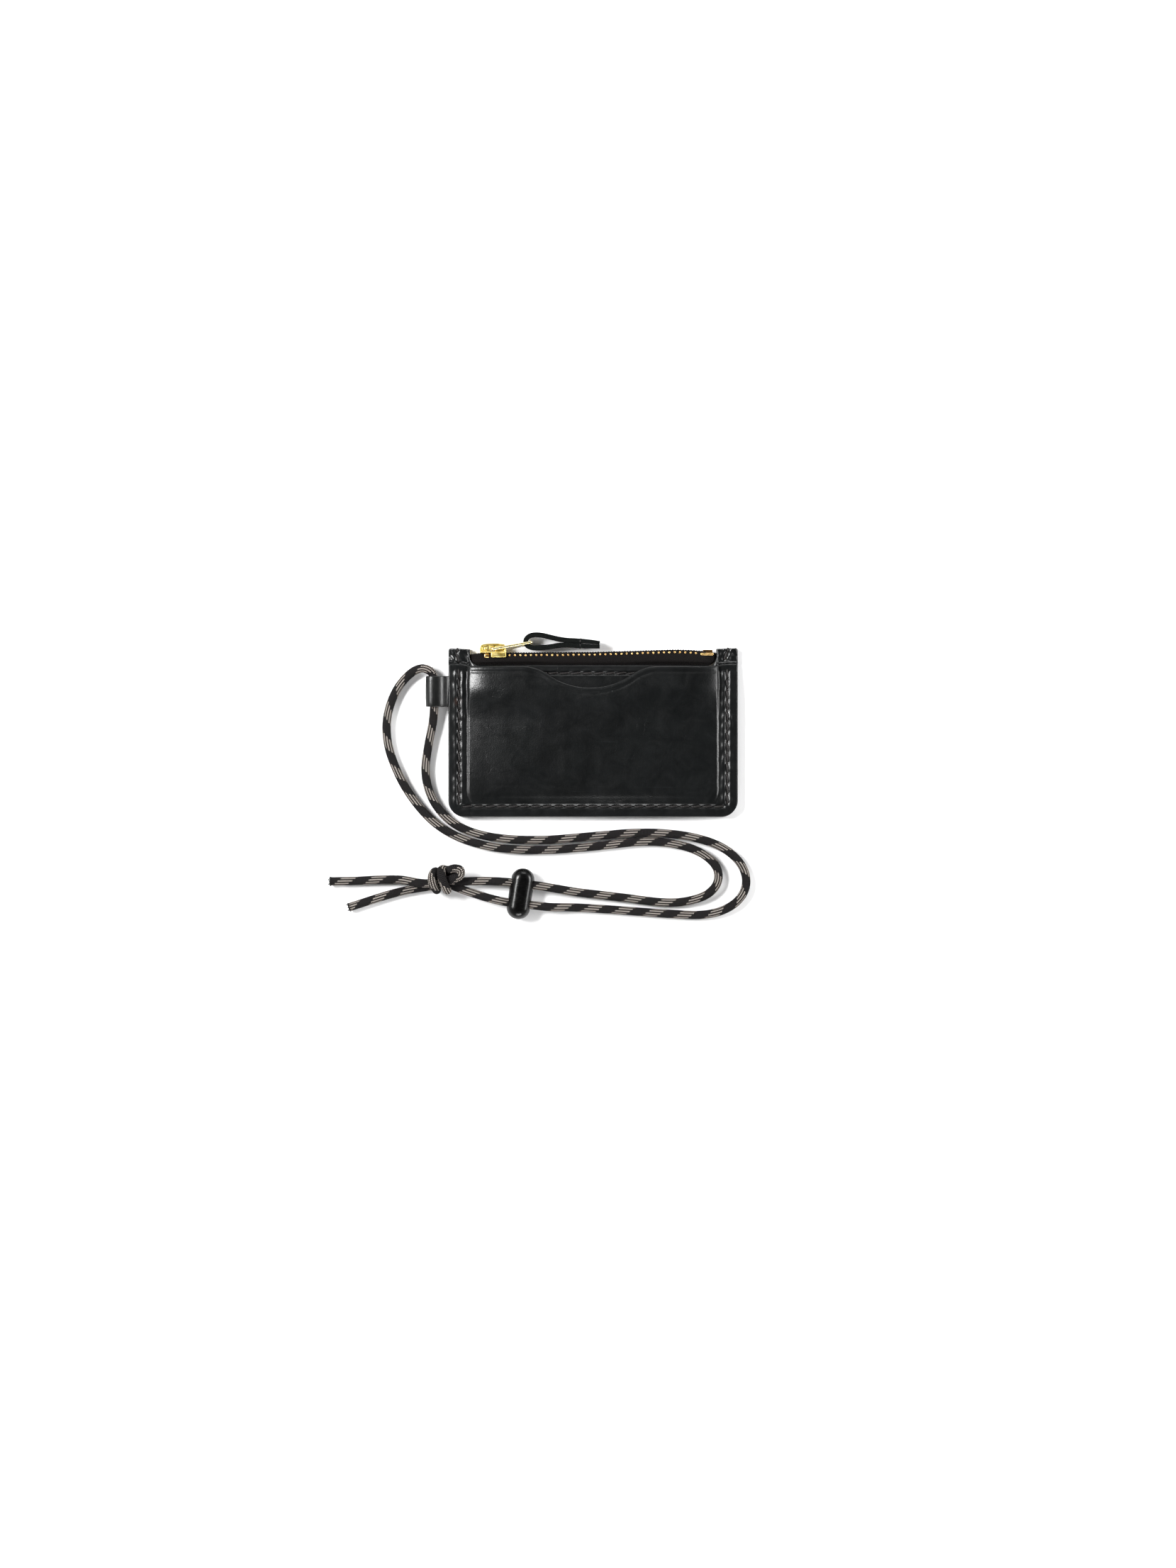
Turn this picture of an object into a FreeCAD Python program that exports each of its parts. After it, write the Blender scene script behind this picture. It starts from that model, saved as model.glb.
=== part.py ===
"""Neck pouch wallet: a flat leather zip pouch with a card pocket, a folded-thong zip pull
and a braided neck cord that runs through a leather loop, a two-hole bead and a knot.

The pouch lies on its back. The origin is the centre of the back panel's outer face,
+X points right, +Y towards the zip and +Z out of the card pocket. Sizes are millimetres.
"""
import FreeCAD, Part
import math
import os
import re

import Sketcher
from FreeCAD import Placement, Rotation, Vector

os.makedirs("parts", exist_ok=True)
doc = FreeCAD.newDocument("neck_pouch_wallet")

# ---------------------------------------------------------------- driving dimensions
DIMENSIONS = [
    # pouch outline
    ("body_width", 119.8, "pouch, left edge to right edge"),
    ("body_bottom", 35.0, "origin down to the bottom edge"),
    ("tab_top", 35.0, "origin up to the top of the corner tabs"),
    ("mouth_level", 28.0, "origin up to the zip window's edge"),
    ("tab_width", 8.9, "corner tab beside the zip"),
    ("corner_radius", 7.0, "bottom corners"),
    ("window_radius", 3.6, "hollow corner between tab and window"),
    ("tab_radius", 0.8, "top corners of the tabs"),
    # leather and hollow heights
    ("back_leather", 1.5, "back panel thickness"),
    ("front_leather", 1.2, "front panel thickness"),
    ("pocket_leather", 1.2, "card pocket thickness"),
    ("coin_gap", 4.7, "clear height of the zipped compartment"),
    ("card_gap", 0.8, "clear height of the card slot"),
    ("tray_inset", 9.9, "pouch edge to the zipped compartment's side"),
    ("tray_floor", 27.7, "origin down to the zipped compartment's bottom"),
    ("tray_round", 1.0, "rounding of the raised fronts"),
    ("tray_play", 0.05, "play between the two raised fronts"),
    # card pocket mouth
    ("pocket_level", 27.7, "origin up to the card pocket's top edge"),
    ("dip_shift", 1.2, "thumb dip, left of the middle"),
    ("dip_depth", 9.1, "thumb dip depth"),
    ("dip_radius", 30.2, "thumb dip's hollow curve"),
    ("shoulder_radius", 20.0, "thumb dip's round shoulders"),
    # stitching
    ("thread_size", 0.8, "waxed thread diameter"),
    ("thread_bend", 0.75, "corner radius of a stitch, as a share of the thread"),
    ("thread_sink", 0.05, "floor to the underside of the stitches"),
    ("stitch_pitch", 4.75, "seam stitch spacing"),
    ("seam_inset", 4.4, "seam line to the pouch edge"),
    ("seam_top", 25.5, "origin up to the seam's first stitch"),
    ("tab_pitch", 3.6, "tab stitch spacing"),
    ("zip_seam_level", 24.5, "origin up to the stitches that hold the zip"),
    ("zip_seam_half", 47.0, "half length of those stitch rows"),
    # zip, in its own frame: x along the chain, y across it, z out of the pouch mouth
    ("zip_start", -41.3, "origin to the closed slider's middle"),
    ("zip_level", 32.0, "origin up to the chain at the closed slider"),
    ("zip_rise", 0.85, "degrees by which the chain rises to the right"),
    ("tape_gauge", 0.35, "zip tape thickness"),
    ("tape_depth", 11.5, "tape below the chain"),
    ("tape_left", 8.5, "closed slider's middle to the tape's left end"),
    ("tape_right", 91.0, "closed slider's middle to the tape's right end"),
    ("chain_half", 1.9, "half width of the closed chain"),
    ("tooth_pitch", 2.2, "spacing of the teeth of one row"),
    ("tooth_length", 1.0, "tooth along the chain"),
    ("tooth_height", 1.5, "tooth across the chain's face"),
    ("tooth_reach", 0.35, "tooth head past the chain's middle"),
    ("tooth_count", 40, "teeth in one row"),
    ("first_tooth", -2.0, "closed slider's middle to the first tooth"),
    ("stop_start", 85.8, "closed slider's middle to the bottom stop"),
    ("stop_length", 5.3, "bottom stop"),
    ("stop_round", 0.4, "rounding of the bottom stop"),
    ("top_stop_start", -5.0, "closed slider's middle to the top stops"),
    ("top_stop_length", 2.0, "top stops along the chain"),
    ("top_stop_inner", 0.9, "chain's middle to the top stops"),
    # slider
    ("slider_length", 11.1, "slider along the chain"),
    ("slider_half", 3.35, "half width of the slider"),
    ("plate_gauge", 0.6, "slider's outer plate thickness"),
    ("channel_half", 0.95, "half height of the slider's channel"),
    ("flange_gauge", 0.8, "slider flange thickness"),
    ("flange_start", -0.6, "slider's middle to its flanges' start"),
    ("inner_half", 1.75, "half width of the slider's inner plate"),
    ("inner_gauge", 0.8, "slider's inner plate thickness"),
    ("inner_setback", 0.4, "slider's ends to its inner plate"),
    ("post_radius", 0.6, "slider's dividing post"),
    ("post_setback", 1.2, "slider's mouth to the post's middle"),
    ("plate_corner", 1.6, "slider's rounded corners"),
    ("weld_depth", 0.05, "depth by which the slider's pads run into each other"),
    ("cap_half", 1.6, "half width of the slider's cap"),
    ("cap_height", 3.0, "height of the slider's cap"),
    ("cap_round", 0.9, "rounding of the cap's top"),
    ("cap_setback", 0.25, "slider's end to the cap's end"),
    ("eye_along", -0.45, "slider's middle to the cap's eye, along the chain"),
    ("eye_height", 2.4, "chain to the cap's eye"),
    ("eye_radius", 0.8, "cap's eye"),
    # pull ring and thong
    ("wire_size", 1.1, "pull ring wire diameter"),
    ("ring_reach", 16.6, "pull ring, bar centre to bar centre"),
    ("ring_half", 3.05, "pull ring, middle to wire centre across"),
    ("ring_corner", 1.4, "pull ring corner radius"),
    ("ring_lean", 10.1, "degrees by which the ring stands off the pouch's long side"),
    ("thong_head", 3.6, "thong fold, outer radius"),
    ("thong_eye", 1.8, "thong fold, inner radius"),
    ("thong_shift", 0.9, "ring bar to the fold's middle"),
    ("thong_neck", 12.0, "ring bar to where the two layers meet"),
    ("thong_tail", 28.2, "ring bar to the thong's end"),
    ("thong_lift", 0.22, "ring bar to the fold's middle, away from the pouch"),
    ("thong_half", 2.1, "half thickness of the doubled thong"),
    ("thong_end_half", 1.6, "half thickness at the thong's end"),
    ("thong_width", 4.4, "width of the thong"),
    ("thong_droop", 0.4, "degrees by which the thong drops to the right"),
    ("thong_stitch_at", 20.2, "ring bar to the thong's stitch"),
    ("thong_sag", 0.75, "drop of the thong's tail"),
    ("thong_bevel", 0.58, "bevel of the fold, as a share of its radius"),
    ("thong_swell", 0.9, "thickness half way down the fold, as a share of its head"),
    # cord loop on the left seam
    ("loop_outer", 3.4, "leather loop, outer radius"),
    ("loop_bore", 2.1, "leather loop, inner radius"),
    ("loop_left", 65.9, "origin to the loop's axis"),
    ("loop_axis", 3.5, "loop's axis above the floor"),
    ("loop_base", 10.6, "origin up to the loop's lower end"),
    ("loop_width", 12.8, "width of the loop's strap"),
    ("loop_neck", 0.7, "loop's joint with the strap's ends, as a share of its radius"),
    ("loop_gap", 0.3, "pouch edge to where the strap's ends run flat"),
    ("tongue_half", 0.6, "half thickness of the strap's skived ends"),
    ("tongue_end", 52.6, "origin to the tips of the strap's ends"),
    # neck cord, bead and knot
    ("cord_size", 3.6, "neck cord diameter"),
    ("bead_length", 21.3, "bead, end to end"),
    ("bead_width", 9.7, "bead's width along the cords"),
    ("bead_thick", 8.4, "bead's height off the table"),
    ("bead_end_radius", 4.8, "rounding of the bead's ends, seen from above"),
    ("bead_edge_radius", 4.1, "rounding of the bead's top and bottom edges"),
    ("bead_bore", 2.2, "radius of the bead's two holes"),
    ("bead_spread", 4.15, "bead's middle to each hole"),
    ("bead_turn", 9.0, "degrees by which the bead leans to the right"),
    ("bead_across", -30.0, "origin to the bead's middle"),
    ("bead_down", -66.7, "origin to the bead's middle"),
    ("knot_across", -60.9, "origin to the knot's middle"),
    ("knot_down", -60.9, "origin to the knot's middle"),
    ("knot_radius", 5.5, "knot, half height"),
    ("knot_core", 4.3, "knot's radius between its turns"),
    ("knot_length", 15.2, "knot along the cords"),
]

sheet = doc.addObject("Spreadsheet::Sheet", "Dimensions")
for row, (alias, value, note) in enumerate(DIMENSIONS, 1):
    sheet.set(f"A{row}", note)
    sheet.set(f"B{row}", str(value))
    sheet.setAlias(f"B{row}", alias)
doc.recompute()

scratch = doc.addObject("Spreadsheet::Sheet", "Scratch")
nodes = {}


def linked(formula):
    """A formula in the sheet's aliases as an object outside the sheet has to write it."""
    return re.sub(r"\b([a-z]+_[a-z_]+)\b", r"Dimensions.\1", str(formula))


def number(formula):
    """The value of a formula written in the sheet's aliases."""
    scratch.set("A1", "=" + linked(formula))
    scratch.recompute()
    return float(scratch.get("A1"))


def bind(thing, **formulas):
    for name, formula in formulas.items():
        thing.setExpression(name.replace("__", "."), linked(formula))


def keep(node, thing):
    """Registers a finished piece under its node name."""
    thing.Label = node
    nodes[node] = thing
    return thing


# ---------------------------------------------------------------- sketch and feature helpers
def new_body(name):
    return keep(name, doc.addObject("PartDesign::Body", name))


def sketch_on(body, role="XY_Plane", lift="0"):
    plane = next(f for f in body.Origin.OriginFeatures if f.Role == role)
    sketch = body.newObject("Sketcher::SketchObject", body.Name + "_sketch")
    sketch.AttachmentSupport = (plane, [""])
    sketch.MapMode = "FlatFace"
    bind(sketch, AttachmentOffset__Base__z=lift)
    return sketch


def pin_point(sketch, element, end, x, y):
    """Fixes one point of a sketch at a place given by two formulas."""
    for direction, formula in (("DistanceX", x), ("DistanceY", y)):
        rule = Sketcher.Constraint(direction, -1, 1, element, end, number(formula))
        index = sketch.addConstraint(rule)
        sketch.setExpression(f"Constraints[{index}]", linked(formula))


def sketch_line(sketch, start, end):
    return sketch.addGeometry(Part.LineSegment(start, end), False)


def polygon(sketch, corners):
    """A closed outline of straight sides through corners given as formulas."""
    points = [Vector(number(x), number(y), 0) for x, y in corners]
    ends = points[1:] + points[:1]
    sides = [sketch_line(sketch, a, b) for a, b in zip(points, ends)]
    for side, following in zip(sides, sides[1:] + sides[:1]):
        sketch.addConstraint(Sketcher.Constraint("Coincident", side, 2, following, 1))
    for side, (x, y) in zip(sides, corners):
        pin_point(sketch, side, 1, x, y)
    return sketch


def rectangle(sketch, left, right, bottom, top):
    return polygon(sketch, [(left, bottom), (right, bottom), (right, top), (left, top)])


def circle(sketch, x, y, radius):
    shape = Part.Circle(Vector(number(x), number(y), 0), Vector(0, 0, 1), number(radius))
    element = sketch.addGeometry(shape, False)
    pin_point(sketch, element, 3, x, y)
    rule = Sketcher.Constraint("Radius", element, number(radius))
    index = sketch.addConstraint(rule)
    sketch.setExpression(f"Constraints[{index}]", linked(radius))
    return sketch


def feature(body, kind, sketch, length, flipped=False, both_ways=False):
    """Pads or pockets a sketch and checks that the volume changed the right way."""
    before = body.Shape.Volume if body.Tip else 0.0
    made = body.newObject(f"PartDesign::{kind}", f"{body.Name}_{kind.lower()}")
    made.Profile = sketch
    made.Reversed = flipped
    if both_ways:
        made.SideType = "Symmetric"
    bind(made, Length=length)
    doc.recompute()
    grown = body.Shape.Volume - before
    if (grown > 0) != (kind == "Pad"):
        raise RuntimeError(f"{made.Name} changed the volume by {grown:.3f}")
    return made


def pad(body, sketch, length, **options):
    return feature(body, "Pad", sketch, length, **options)


def pocket(body, sketch, length, **options):
    return feature(body, "Pocket", sketch, length, **options)


def edges_where(shape, test):
    return [f"Edge{n}" for n, edge in enumerate(shape.Edges, 1) if test(edge)]


def fillet(body, radius, test):
    """Rounds the edges of the body's newest feature that pass the test."""
    base = body.Tip
    names = edges_where(base.Shape, test)
    if not names:
        raise RuntimeError(f"{body.Name}: no edge to round")
    made = body.newObject("PartDesign::Fillet", f"{body.Name}_fillet")
    made.Base = (base, names)
    bind(made, Radius=radius)
    doc.recompute()
    return made


def direction(edge):
    if not isinstance(edge.Curve, Part.Line):
        return Vector(0, 0, 0)
    return (edge.lastVertex().Point - edge.firstVertex().Point).normalize()


def upright_at(x, y, slack=0.05):
    """A test for the straight edges along Z that stand at |x| and y."""

    def test(edge):
        middle = edge.CenterOfMass
        upright = abs(abs(direction(edge).z) - 1) < 1e-6
        return upright and abs(abs(middle.x) - x) < slack and abs(middle.y - y) < slack

    return test


def rim_at(z):
    """A test for every edge that lies in the plane z."""

    def test(edge):
        return abs(edge.BoundBox.ZMin - z) < 0.01 and abs(edge.BoundBox.ZMax - z) < 0.01

    return test


# ---------------------------------------------------------------- leather panels
def cut_window(body, base, height):
    """Opens the zip window between two corner tabs and rounds all their corners."""
    window = rectangle(sketch_on(body, lift=base), "-(body_width/2-tab_width)",
                       "body_width/2-tab_width", "mouth_level", "tab_top+1")
    pocket(body, window, height, flipped=True)
    half = number("body_width/2")
    inner = number("body_width/2-tab_width")
    fillet(body, "window_radius", upright_at(inner, number("mouth_level")))
    fillet(body, "tab_radius", upright_at(inner, number("tab_top")))
    fillet(body, "tab_radius", upright_at(half, number("tab_top")))


def blank(name, base, leather, top):
    """A flat leather blank with round bottom corners, from the bottom edge up to top."""
    body = new_body(name)
    outline = rectangle(sketch_on(body, lift=base), "-body_width/2", "body_width/2",
                        "-body_bottom", top)
    pad(body, outline, leather)
    corner = upright_at(number("body_width/2"), -number("body_bottom"))
    fillet(body, "corner_radius", corner)
    return body


def raise_tray(body, base, leather, clearance, side, floor, top):
    """Moulds the blank up over a hollow that is open at its top edge."""
    block = rectangle(sketch_on(body, lift=base), f"-({side})", side, f"-({floor})", top)
    pad(body, block, f"{clearance}+{leather}")
    roof = number(f"{base}+{clearance}+{leather}")
    level = number(top)
    rounded = rim_at(roof)
    fillet(body, "tray_round", lambda edge: rounded(edge) and edge.CenterOfMass.y < level - 0.1)
    hollow = rectangle(sketch_on(body, lift=base), f"-({side}-{leather})", f"{side}-{leather}",
                       f"-({floor}-{leather})", f"{top}+1")
    pocket(body, hollow, clearance, flipped=True)


def seat_for_loop(body, base, flipped):
    """Skives a seat for the cord loop's tongue in the left seam."""
    seat = rectangle(sketch_on(body, lift=base), "-body_width/2-1", "-tongue_end",
                     "loop_base", "loop_base+loop_width")
    pocket(body, seat, "tongue_half", flipped=flipped)


def make_back_panel():
    body = blank("back_panel", "0", "back_leather", "tab_top")
    cut_window(body, "0", "back_leather")
    seat_for_loop(body, "back_leather", False)


def make_front_panel():
    body = blank("front_panel", "back_leather", "front_leather", "tab_top")
    cut_window(body, "back_leather", "front_leather")
    raise_tray(body, "back_leather", "front_leather", "coin_gap",
               "body_width/2-tray_inset+front_leather", "tray_floor+front_leather",
               "mouth_level")
    seat_for_loop(body, "back_leather", True)


def make_card_pocket():
    base = "back_leather+front_leather"
    body = blank("card_pocket", base, "pocket_leather", "pocket_level")
    raise_tray(body, base, "pocket_leather", "coin_gap+card_gap",
               "body_width/2-tray_inset+front_leather+pocket_leather+tray_play",
               "tray_floor+front_leather+pocket_leather+tray_play", "pocket_level")
    dip = circle(sketch_on(body, lift=base), "-dip_shift",
                 "pocket_level-dip_depth+dip_radius", "dip_radius")
    pocket(body, dip, "coin_gap+card_gap+pocket_leather", flipped=True)
    level = number("pocket_level")

    def shoulder(edge):
        middle = edge.CenterOfMass
        upright = abs(abs(direction(edge).z) - 1) < 1e-6
        return upright and abs(middle.y - level) < 0.05 and 10 < abs(middle.x) < 30

    fillet(body, "shoulder_radius", shoulder)


# ---------------------------------------------------------------- stitching
# clear space between two stitches of a row, in thread diameters
STITCH_SPACE = 1.3


def stitch(length, height, thread):
    """A closed turn of thread, length along X and height along Z, centred on the origin."""
    bend = number("thread_size*thread_bend")
    x, z = length / 2, height / 2
    k = bend * (1 - math.sqrt(0.5))
    sides = []
    for sx, sz in ((1, 1), (-1, 1), (-1, -1), (1, -1)):
        start = Vector(sx * x, 0, sz * (z - bend))
        middle = Vector(sx * (x - k), 0, sz * (z - k))
        end = Vector(sx * (x - bend), 0, sz * z)
        if sx * sz < 0:
            start, end = end, start
        sides.append((start, middle, end))
    edges = []
    for (start, middle, end), following in zip(sides, sides[1:] + sides[:1]):
        edges.append(Part.Arc(start, middle, end).toShape())
        edges.append(Part.LineSegment(end, following[0]).toShape())
    path = Part.Wire(edges)
    first = path.Edges[0]
    spot = first.valueAt(first.FirstParameter)
    tangent = first.tangentAt(first.FirstParameter)
    section = Part.Wire([Part.Circle(spot, tangent, thread / 2).toShape()])
    return path.makePipeShell([section], True, True)


def run_of_stitches(start, end, pitch, low, high, thread):
    """Evenly spaced stitches from start to end round a stack between two heights."""
    line = end - start
    count = max(1, round(line.Length / pitch))
    step = line.Length / count
    turn = stitch(step - thread * STITCH_SPACE, high - low, thread)
    angle = math.degrees(math.atan2(line.y, line.x))
    found = []
    for n in range(count):
        middle = start + line * ((n + 0.5) / count)
        place = Placement(Vector(middle.x, middle.y, (low + high) / 2),
                          Rotation(Vector(0, 0, 1), angle))
        found.append(turn.transformed(place.toMatrix(), True))
    return found


def group(node, solids):
    """One node that holds separate equal solids."""
    thing = doc.addObject("Part::Feature", node)
    thing.Shape = Part.makeCompound(solids)
    return keep(node, thing)


def make_seam_thread():
    thread = number("thread_size")
    side = number("body_width/2-seam_inset")
    top = number("seam_top")
    bottom = -number("body_bottom-seam_inset")
    cut = number("corner_radius-thread_size*4")
    low = number("thread_size/2+thread_sink")
    high = number("back_leather+front_leather+pocket_leather")
    pitch = number("stitch_pitch")
    route = [Vector(-side, top), Vector(-side, bottom + cut), Vector(-side + cut, bottom),
             Vector(side - cut, bottom), Vector(side, bottom + cut), Vector(side, top)]
    solids = []
    for start, end in zip(route, route[1:]):
        solids += run_of_stitches(start, end, pitch, low, high, thread)
    group("seam_thread", solids)


def make_tab_threads():
    thread = number("thread_size")
    low = number("thread_size/2+thread_sink")
    high = number("back_leather+front_leather")
    top = number("tab_top")
    level = number("pocket_level+thread_size")
    for node, sign in (("tab_thread_left", -1), ("tab_thread_right", 1)):
        x = sign * number("body_width/2-seam_inset")
        group(node, run_of_stitches(Vector(x, level), Vector(x, top), number("tab_pitch"),
                                    low, high, thread))


def make_zip_threads():
    thread = number("thread_size")
    level = number("zip_seam_level")
    half = number("zip_seam_half")
    pitch = number("stitch_pitch")
    row = (Vector(-half, level), Vector(half, level), pitch)
    for node, low, high in (
            ("zip_thread_back", "thread_size/2+thread_sink", "back_leather+tape_gauge"),
            ("zip_thread_front", "back_leather+coin_gap-tape_gauge",
             "back_leather+coin_gap+front_leather")):
        group(node, run_of_stitches(*row, number(low), number(high), thread))


# ---------------------------------------------------------------- zip
def zip_placement():
    """Local x runs along the chain, y points to the floor and z out of the mouth."""
    centre = Vector(number("zip_start"), number("zip_level"),
                    number("back_leather+coin_gap/2"))
    rise = Rotation(Vector(0, 0, 1), number("zip_rise"))
    return Placement(centre, rise * Rotation(Vector(1, 0, 0), -90))


def make_zip_tapes():
    """Each tape is held by its teeth, turns down round them and runs inside a panel."""
    for node, sign in (("zip_tape_back", "1"), ("zip_tape_front", "-1")):
        body = new_body(node)
        wall = "coin_gap/2"
        fold = "tape_gauge/2"
        corners = [("chain_half-tooth_height/2", f"-{fold}"), (f"{wall}-tape_gauge", f"-{fold}"),
                   (f"{wall}-tape_gauge", "-tape_depth"), (wall, "-tape_depth"), (wall, fold),
                   ("chain_half-tooth_height/2", fold)]
        profile = sketch_on(body, "YZ_Plane", "-tape_left")
        polygon(profile, [(f"{sign}*({y})", z) for y, z in corners])
        pad(body, profile, "tape_left+tape_right")
        body.Placement = zip_placement()


def make_zip_teeth():
    """Two rows of teeth that mesh: the rows differ by half a pitch."""
    pitch = number("tooth_pitch")
    length = number("tooth_length")
    height = number("tooth_height")
    outer = number("chain_half")
    reach = number("tooth_reach")
    first = number("first_tooth")
    rows = (("zip_teeth_front", -1, 0.0), ("zip_teeth_back", 1, 0.5))
    for node, side, shift in rows:
        solids = []
        low = min(side * outer, -side * reach)
        for n in range(round(number("tooth_count"))):
            x = first + (n + shift) * pitch - length / 2
            solids.append(Part.makeBox(length, outer + reach, height,
                                       Vector(x, low, -height / 2)))
        group(node, solids).Placement = zip_placement()


def make_zip_stops():
    for node, sign in (("top_stop_front", "-1"), ("top_stop_back", "1")):
        body = new_body(node)
        outline = sketch_on(body, lift="-tooth_height/2")
        start = "top_stop_start"
        end = "top_stop_start+top_stop_length"
        polygon(outline, [(start, f"{sign}*top_stop_inner"), (end, f"{sign}*top_stop_inner"),
                          (end, f"{sign}*chain_half"), (start, f"{sign}*chain_half")])
        pad(body, outline, "tooth_height")
        body.Placement = zip_placement()
    body = new_body("bottom_stop")
    outline = sketch_on(body, lift="-channel_half")
    half = "chain_half+tooth_height/8"
    rectangle(outline, "stop_start", "stop_start+stop_length", f"-({half})", half)
    pad(body, outline, "channel_half*2")
    fillet(body, "stop_round", rim_at(number("channel_half")))
    body.Placement = zip_placement()


# ---------------------------------------------------------------- slider, ring and thong
def make_slider_body():
    body = new_body("slider_body")
    end = "slider_length/2"
    top = "channel_half"
    plate = rectangle(sketch_on(body, lift=top), f"-{end}", end, "-slider_half", "slider_half")
    pad(body, plate, "plate_gauge")
    corners = [upright_at(number(end), side * number("slider_half")) for side in (1, -1)]
    fillet(body, "plate_corner", lambda edge: any(test(edge) for test in corners))
    for sign in ("1", "-1"):
        flange = sketch_on(body, lift=f"-{top}-weld_depth")
        polygon(flange, [("flange_start", f"{sign}*slider_half"),
                         ("flange_start", f"{sign}*(slider_half-flange_gauge)"),
                         (f"{end}-plate_corner", f"{sign}*(slider_half-flange_gauge)"),
                         (f"{end}-plate_corner", f"{sign}*slider_half")])
        pad(body, flange, f"2*{top}+weld_depth")
    post = circle(sketch_on(body, lift=f"-{top}"), f"-{end}+post_setback", "0", "post_radius")
    pad(body, post, f"2*{top}")
    inner = rectangle(sketch_on(body, lift=f"-{top}-inner_gauge"), f"-{end}+inner_setback",
                      f"{end}-inner_setback", "-inner_half", "inner_half")
    pad(body, inner, "inner_gauge")
    body.Placement = zip_placement()


def make_slider_cap():
    body = new_body("slider_cap")
    base = "channel_half+plate_gauge"
    outline = rectangle(sketch_on(body, lift=base), "-slider_length/2",
                        "slider_length/2-cap_setback", "-cap_half", "cap_half")
    pad(body, outline, "cap_height")
    fillet(body, "cap_round", rim_at(number(f"{base}+cap_height")))
    eye = circle(sketch_on(body, "XZ_Plane"), "eye_along", "eye_height", "eye_radius")
    pocket(body, eye, "cap_half*3", both_ways=True)
    body.Placement = zip_placement()


def ring_placement(along):
    """A place on the ring's own middle line: 0 is its near bar, 1 its far bar."""
    eye = zip_placement().multVec(Vector(number("eye_along"), 0, number("eye_height")))
    lean = Rotation(Vector(0, 0, 1), number("ring_lean"))
    reach = number("ring_reach") * along
    return Placement(eye + lean.multVec(Vector(reach, 0, 0)), lean)


def make_pull_ring():
    """A round-cornered wire loop whose near bar runs through the slider cap's eye."""
    reach = number("ring_reach")
    half = number("ring_half")
    round_off = number("ring_corner")
    k = round_off * (1 - math.sqrt(0.5))
    points = []
    for x, z, sx, sz in ((reach, half, 1, 1), (0, half, -1, 1), (0, -half, -1, -1),
                         (reach, -half, 1, -1)):
        across = Vector(x - sx * round_off, 0, z)
        along = Vector(x, 0, z - sz * round_off)
        middle = Vector(x - sx * k, 0, z - sz * k)
        points.append((along, middle, across) if sx * sz > 0 else (across, middle, along))
    edges = []
    for (start, middle, end), following in zip(points, points[1:] + points[:1]):
        edges.append(Part.Arc(start, middle, end).toShape())
        edges.append(Part.LineSegment(end, following[0]).toShape())
    path = Part.Wire(edges)
    first = path.Edges[0]
    spot = first.valueAt(first.FirstParameter)
    tangent = first.tangentAt(first.FirstParameter)
    section = Part.Wire([Part.Circle(spot, tangent, number("wire_size/2")).toShape()])
    thing = doc.addObject("Part::Feature", "pull_ring")
    thing.Shape = path.makePipeShell([section], True, True)
    thing.Placement = ring_placement(0)
    keep("pull_ring", thing)


def thong_placement():
    bar = ring_placement(1)
    droop = Rotation(Vector(0, 0, 1), -number("thong_droop"))
    return Placement(bar.Base, droop)


def make_pull_thong():
    """A leather strip folded round the ring's far bar, its two ends laid together."""
    body = new_body("pull_thong")
    outline = sketch_on(body, lift="-thong_width/2")
    top = "thong_lift+thong_head"
    bottom = "thong_lift-thong_head"
    blunt = "thong_head*(1-thong_bevel)"
    swell = "thong_head*thong_swell"
    polygon(outline, [(f"thong_shift-{blunt}", top), ("thong_shift", top),
                      ("thong_neck/2", f"thong_lift+{swell}"), ("thong_neck", "thong_half"),
                      ("thong_tail", "thong_end_half-thong_sag"),
                      ("thong_tail", "-thong_end_half-thong_sag"),
                      ("thong_neck", "-thong_half"), ("thong_neck/2", f"thong_lift-{swell}"),
                      ("thong_shift", bottom), (f"thong_shift-{blunt}", bottom),
                      ("thong_shift-thong_head", f"thong_lift-{blunt}"),
                      ("thong_shift-thong_head", f"thong_lift+{blunt}")])
    pad(body, outline, "thong_width")
    eye = sketch_on(body, lift="-thong_width/2")
    hollow = "thong_eye*(1-thong_bevel)"
    tip = "thong_neck-front_leather/2"
    polygon(eye, [(f"thong_shift-{hollow}", "thong_lift+thong_eye"),
                  ("thong_neck/2", "thong_lift+thong_eye"), (tip, "thong_lift"),
                  ("thong_neck/2", "thong_lift-thong_eye"),
                  (f"thong_shift-{hollow}", "thong_lift-thong_eye"),
                  ("thong_shift-thong_eye", f"thong_lift-{hollow}"),
                  ("thong_shift-thong_eye", f"thong_lift+{hollow}")])
    pocket(body, eye, "thong_width", flipped=True)
    body.Placement = thong_placement()
    thread = number("thread_size")
    turn = stitch(number("thong_half*2"), number("thong_width") * 0.5, thread)
    turn.rotate(Vector(0, 0, 0), Vector(0, 0, 1), 90)
    sewn = group("thong_stitch", [turn])
    sewn.Placement = thong_placement() * Placement(
        Vector(number("thong_stitch_at"), -number("thong_sag/2"), 0), Rotation())


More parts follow.
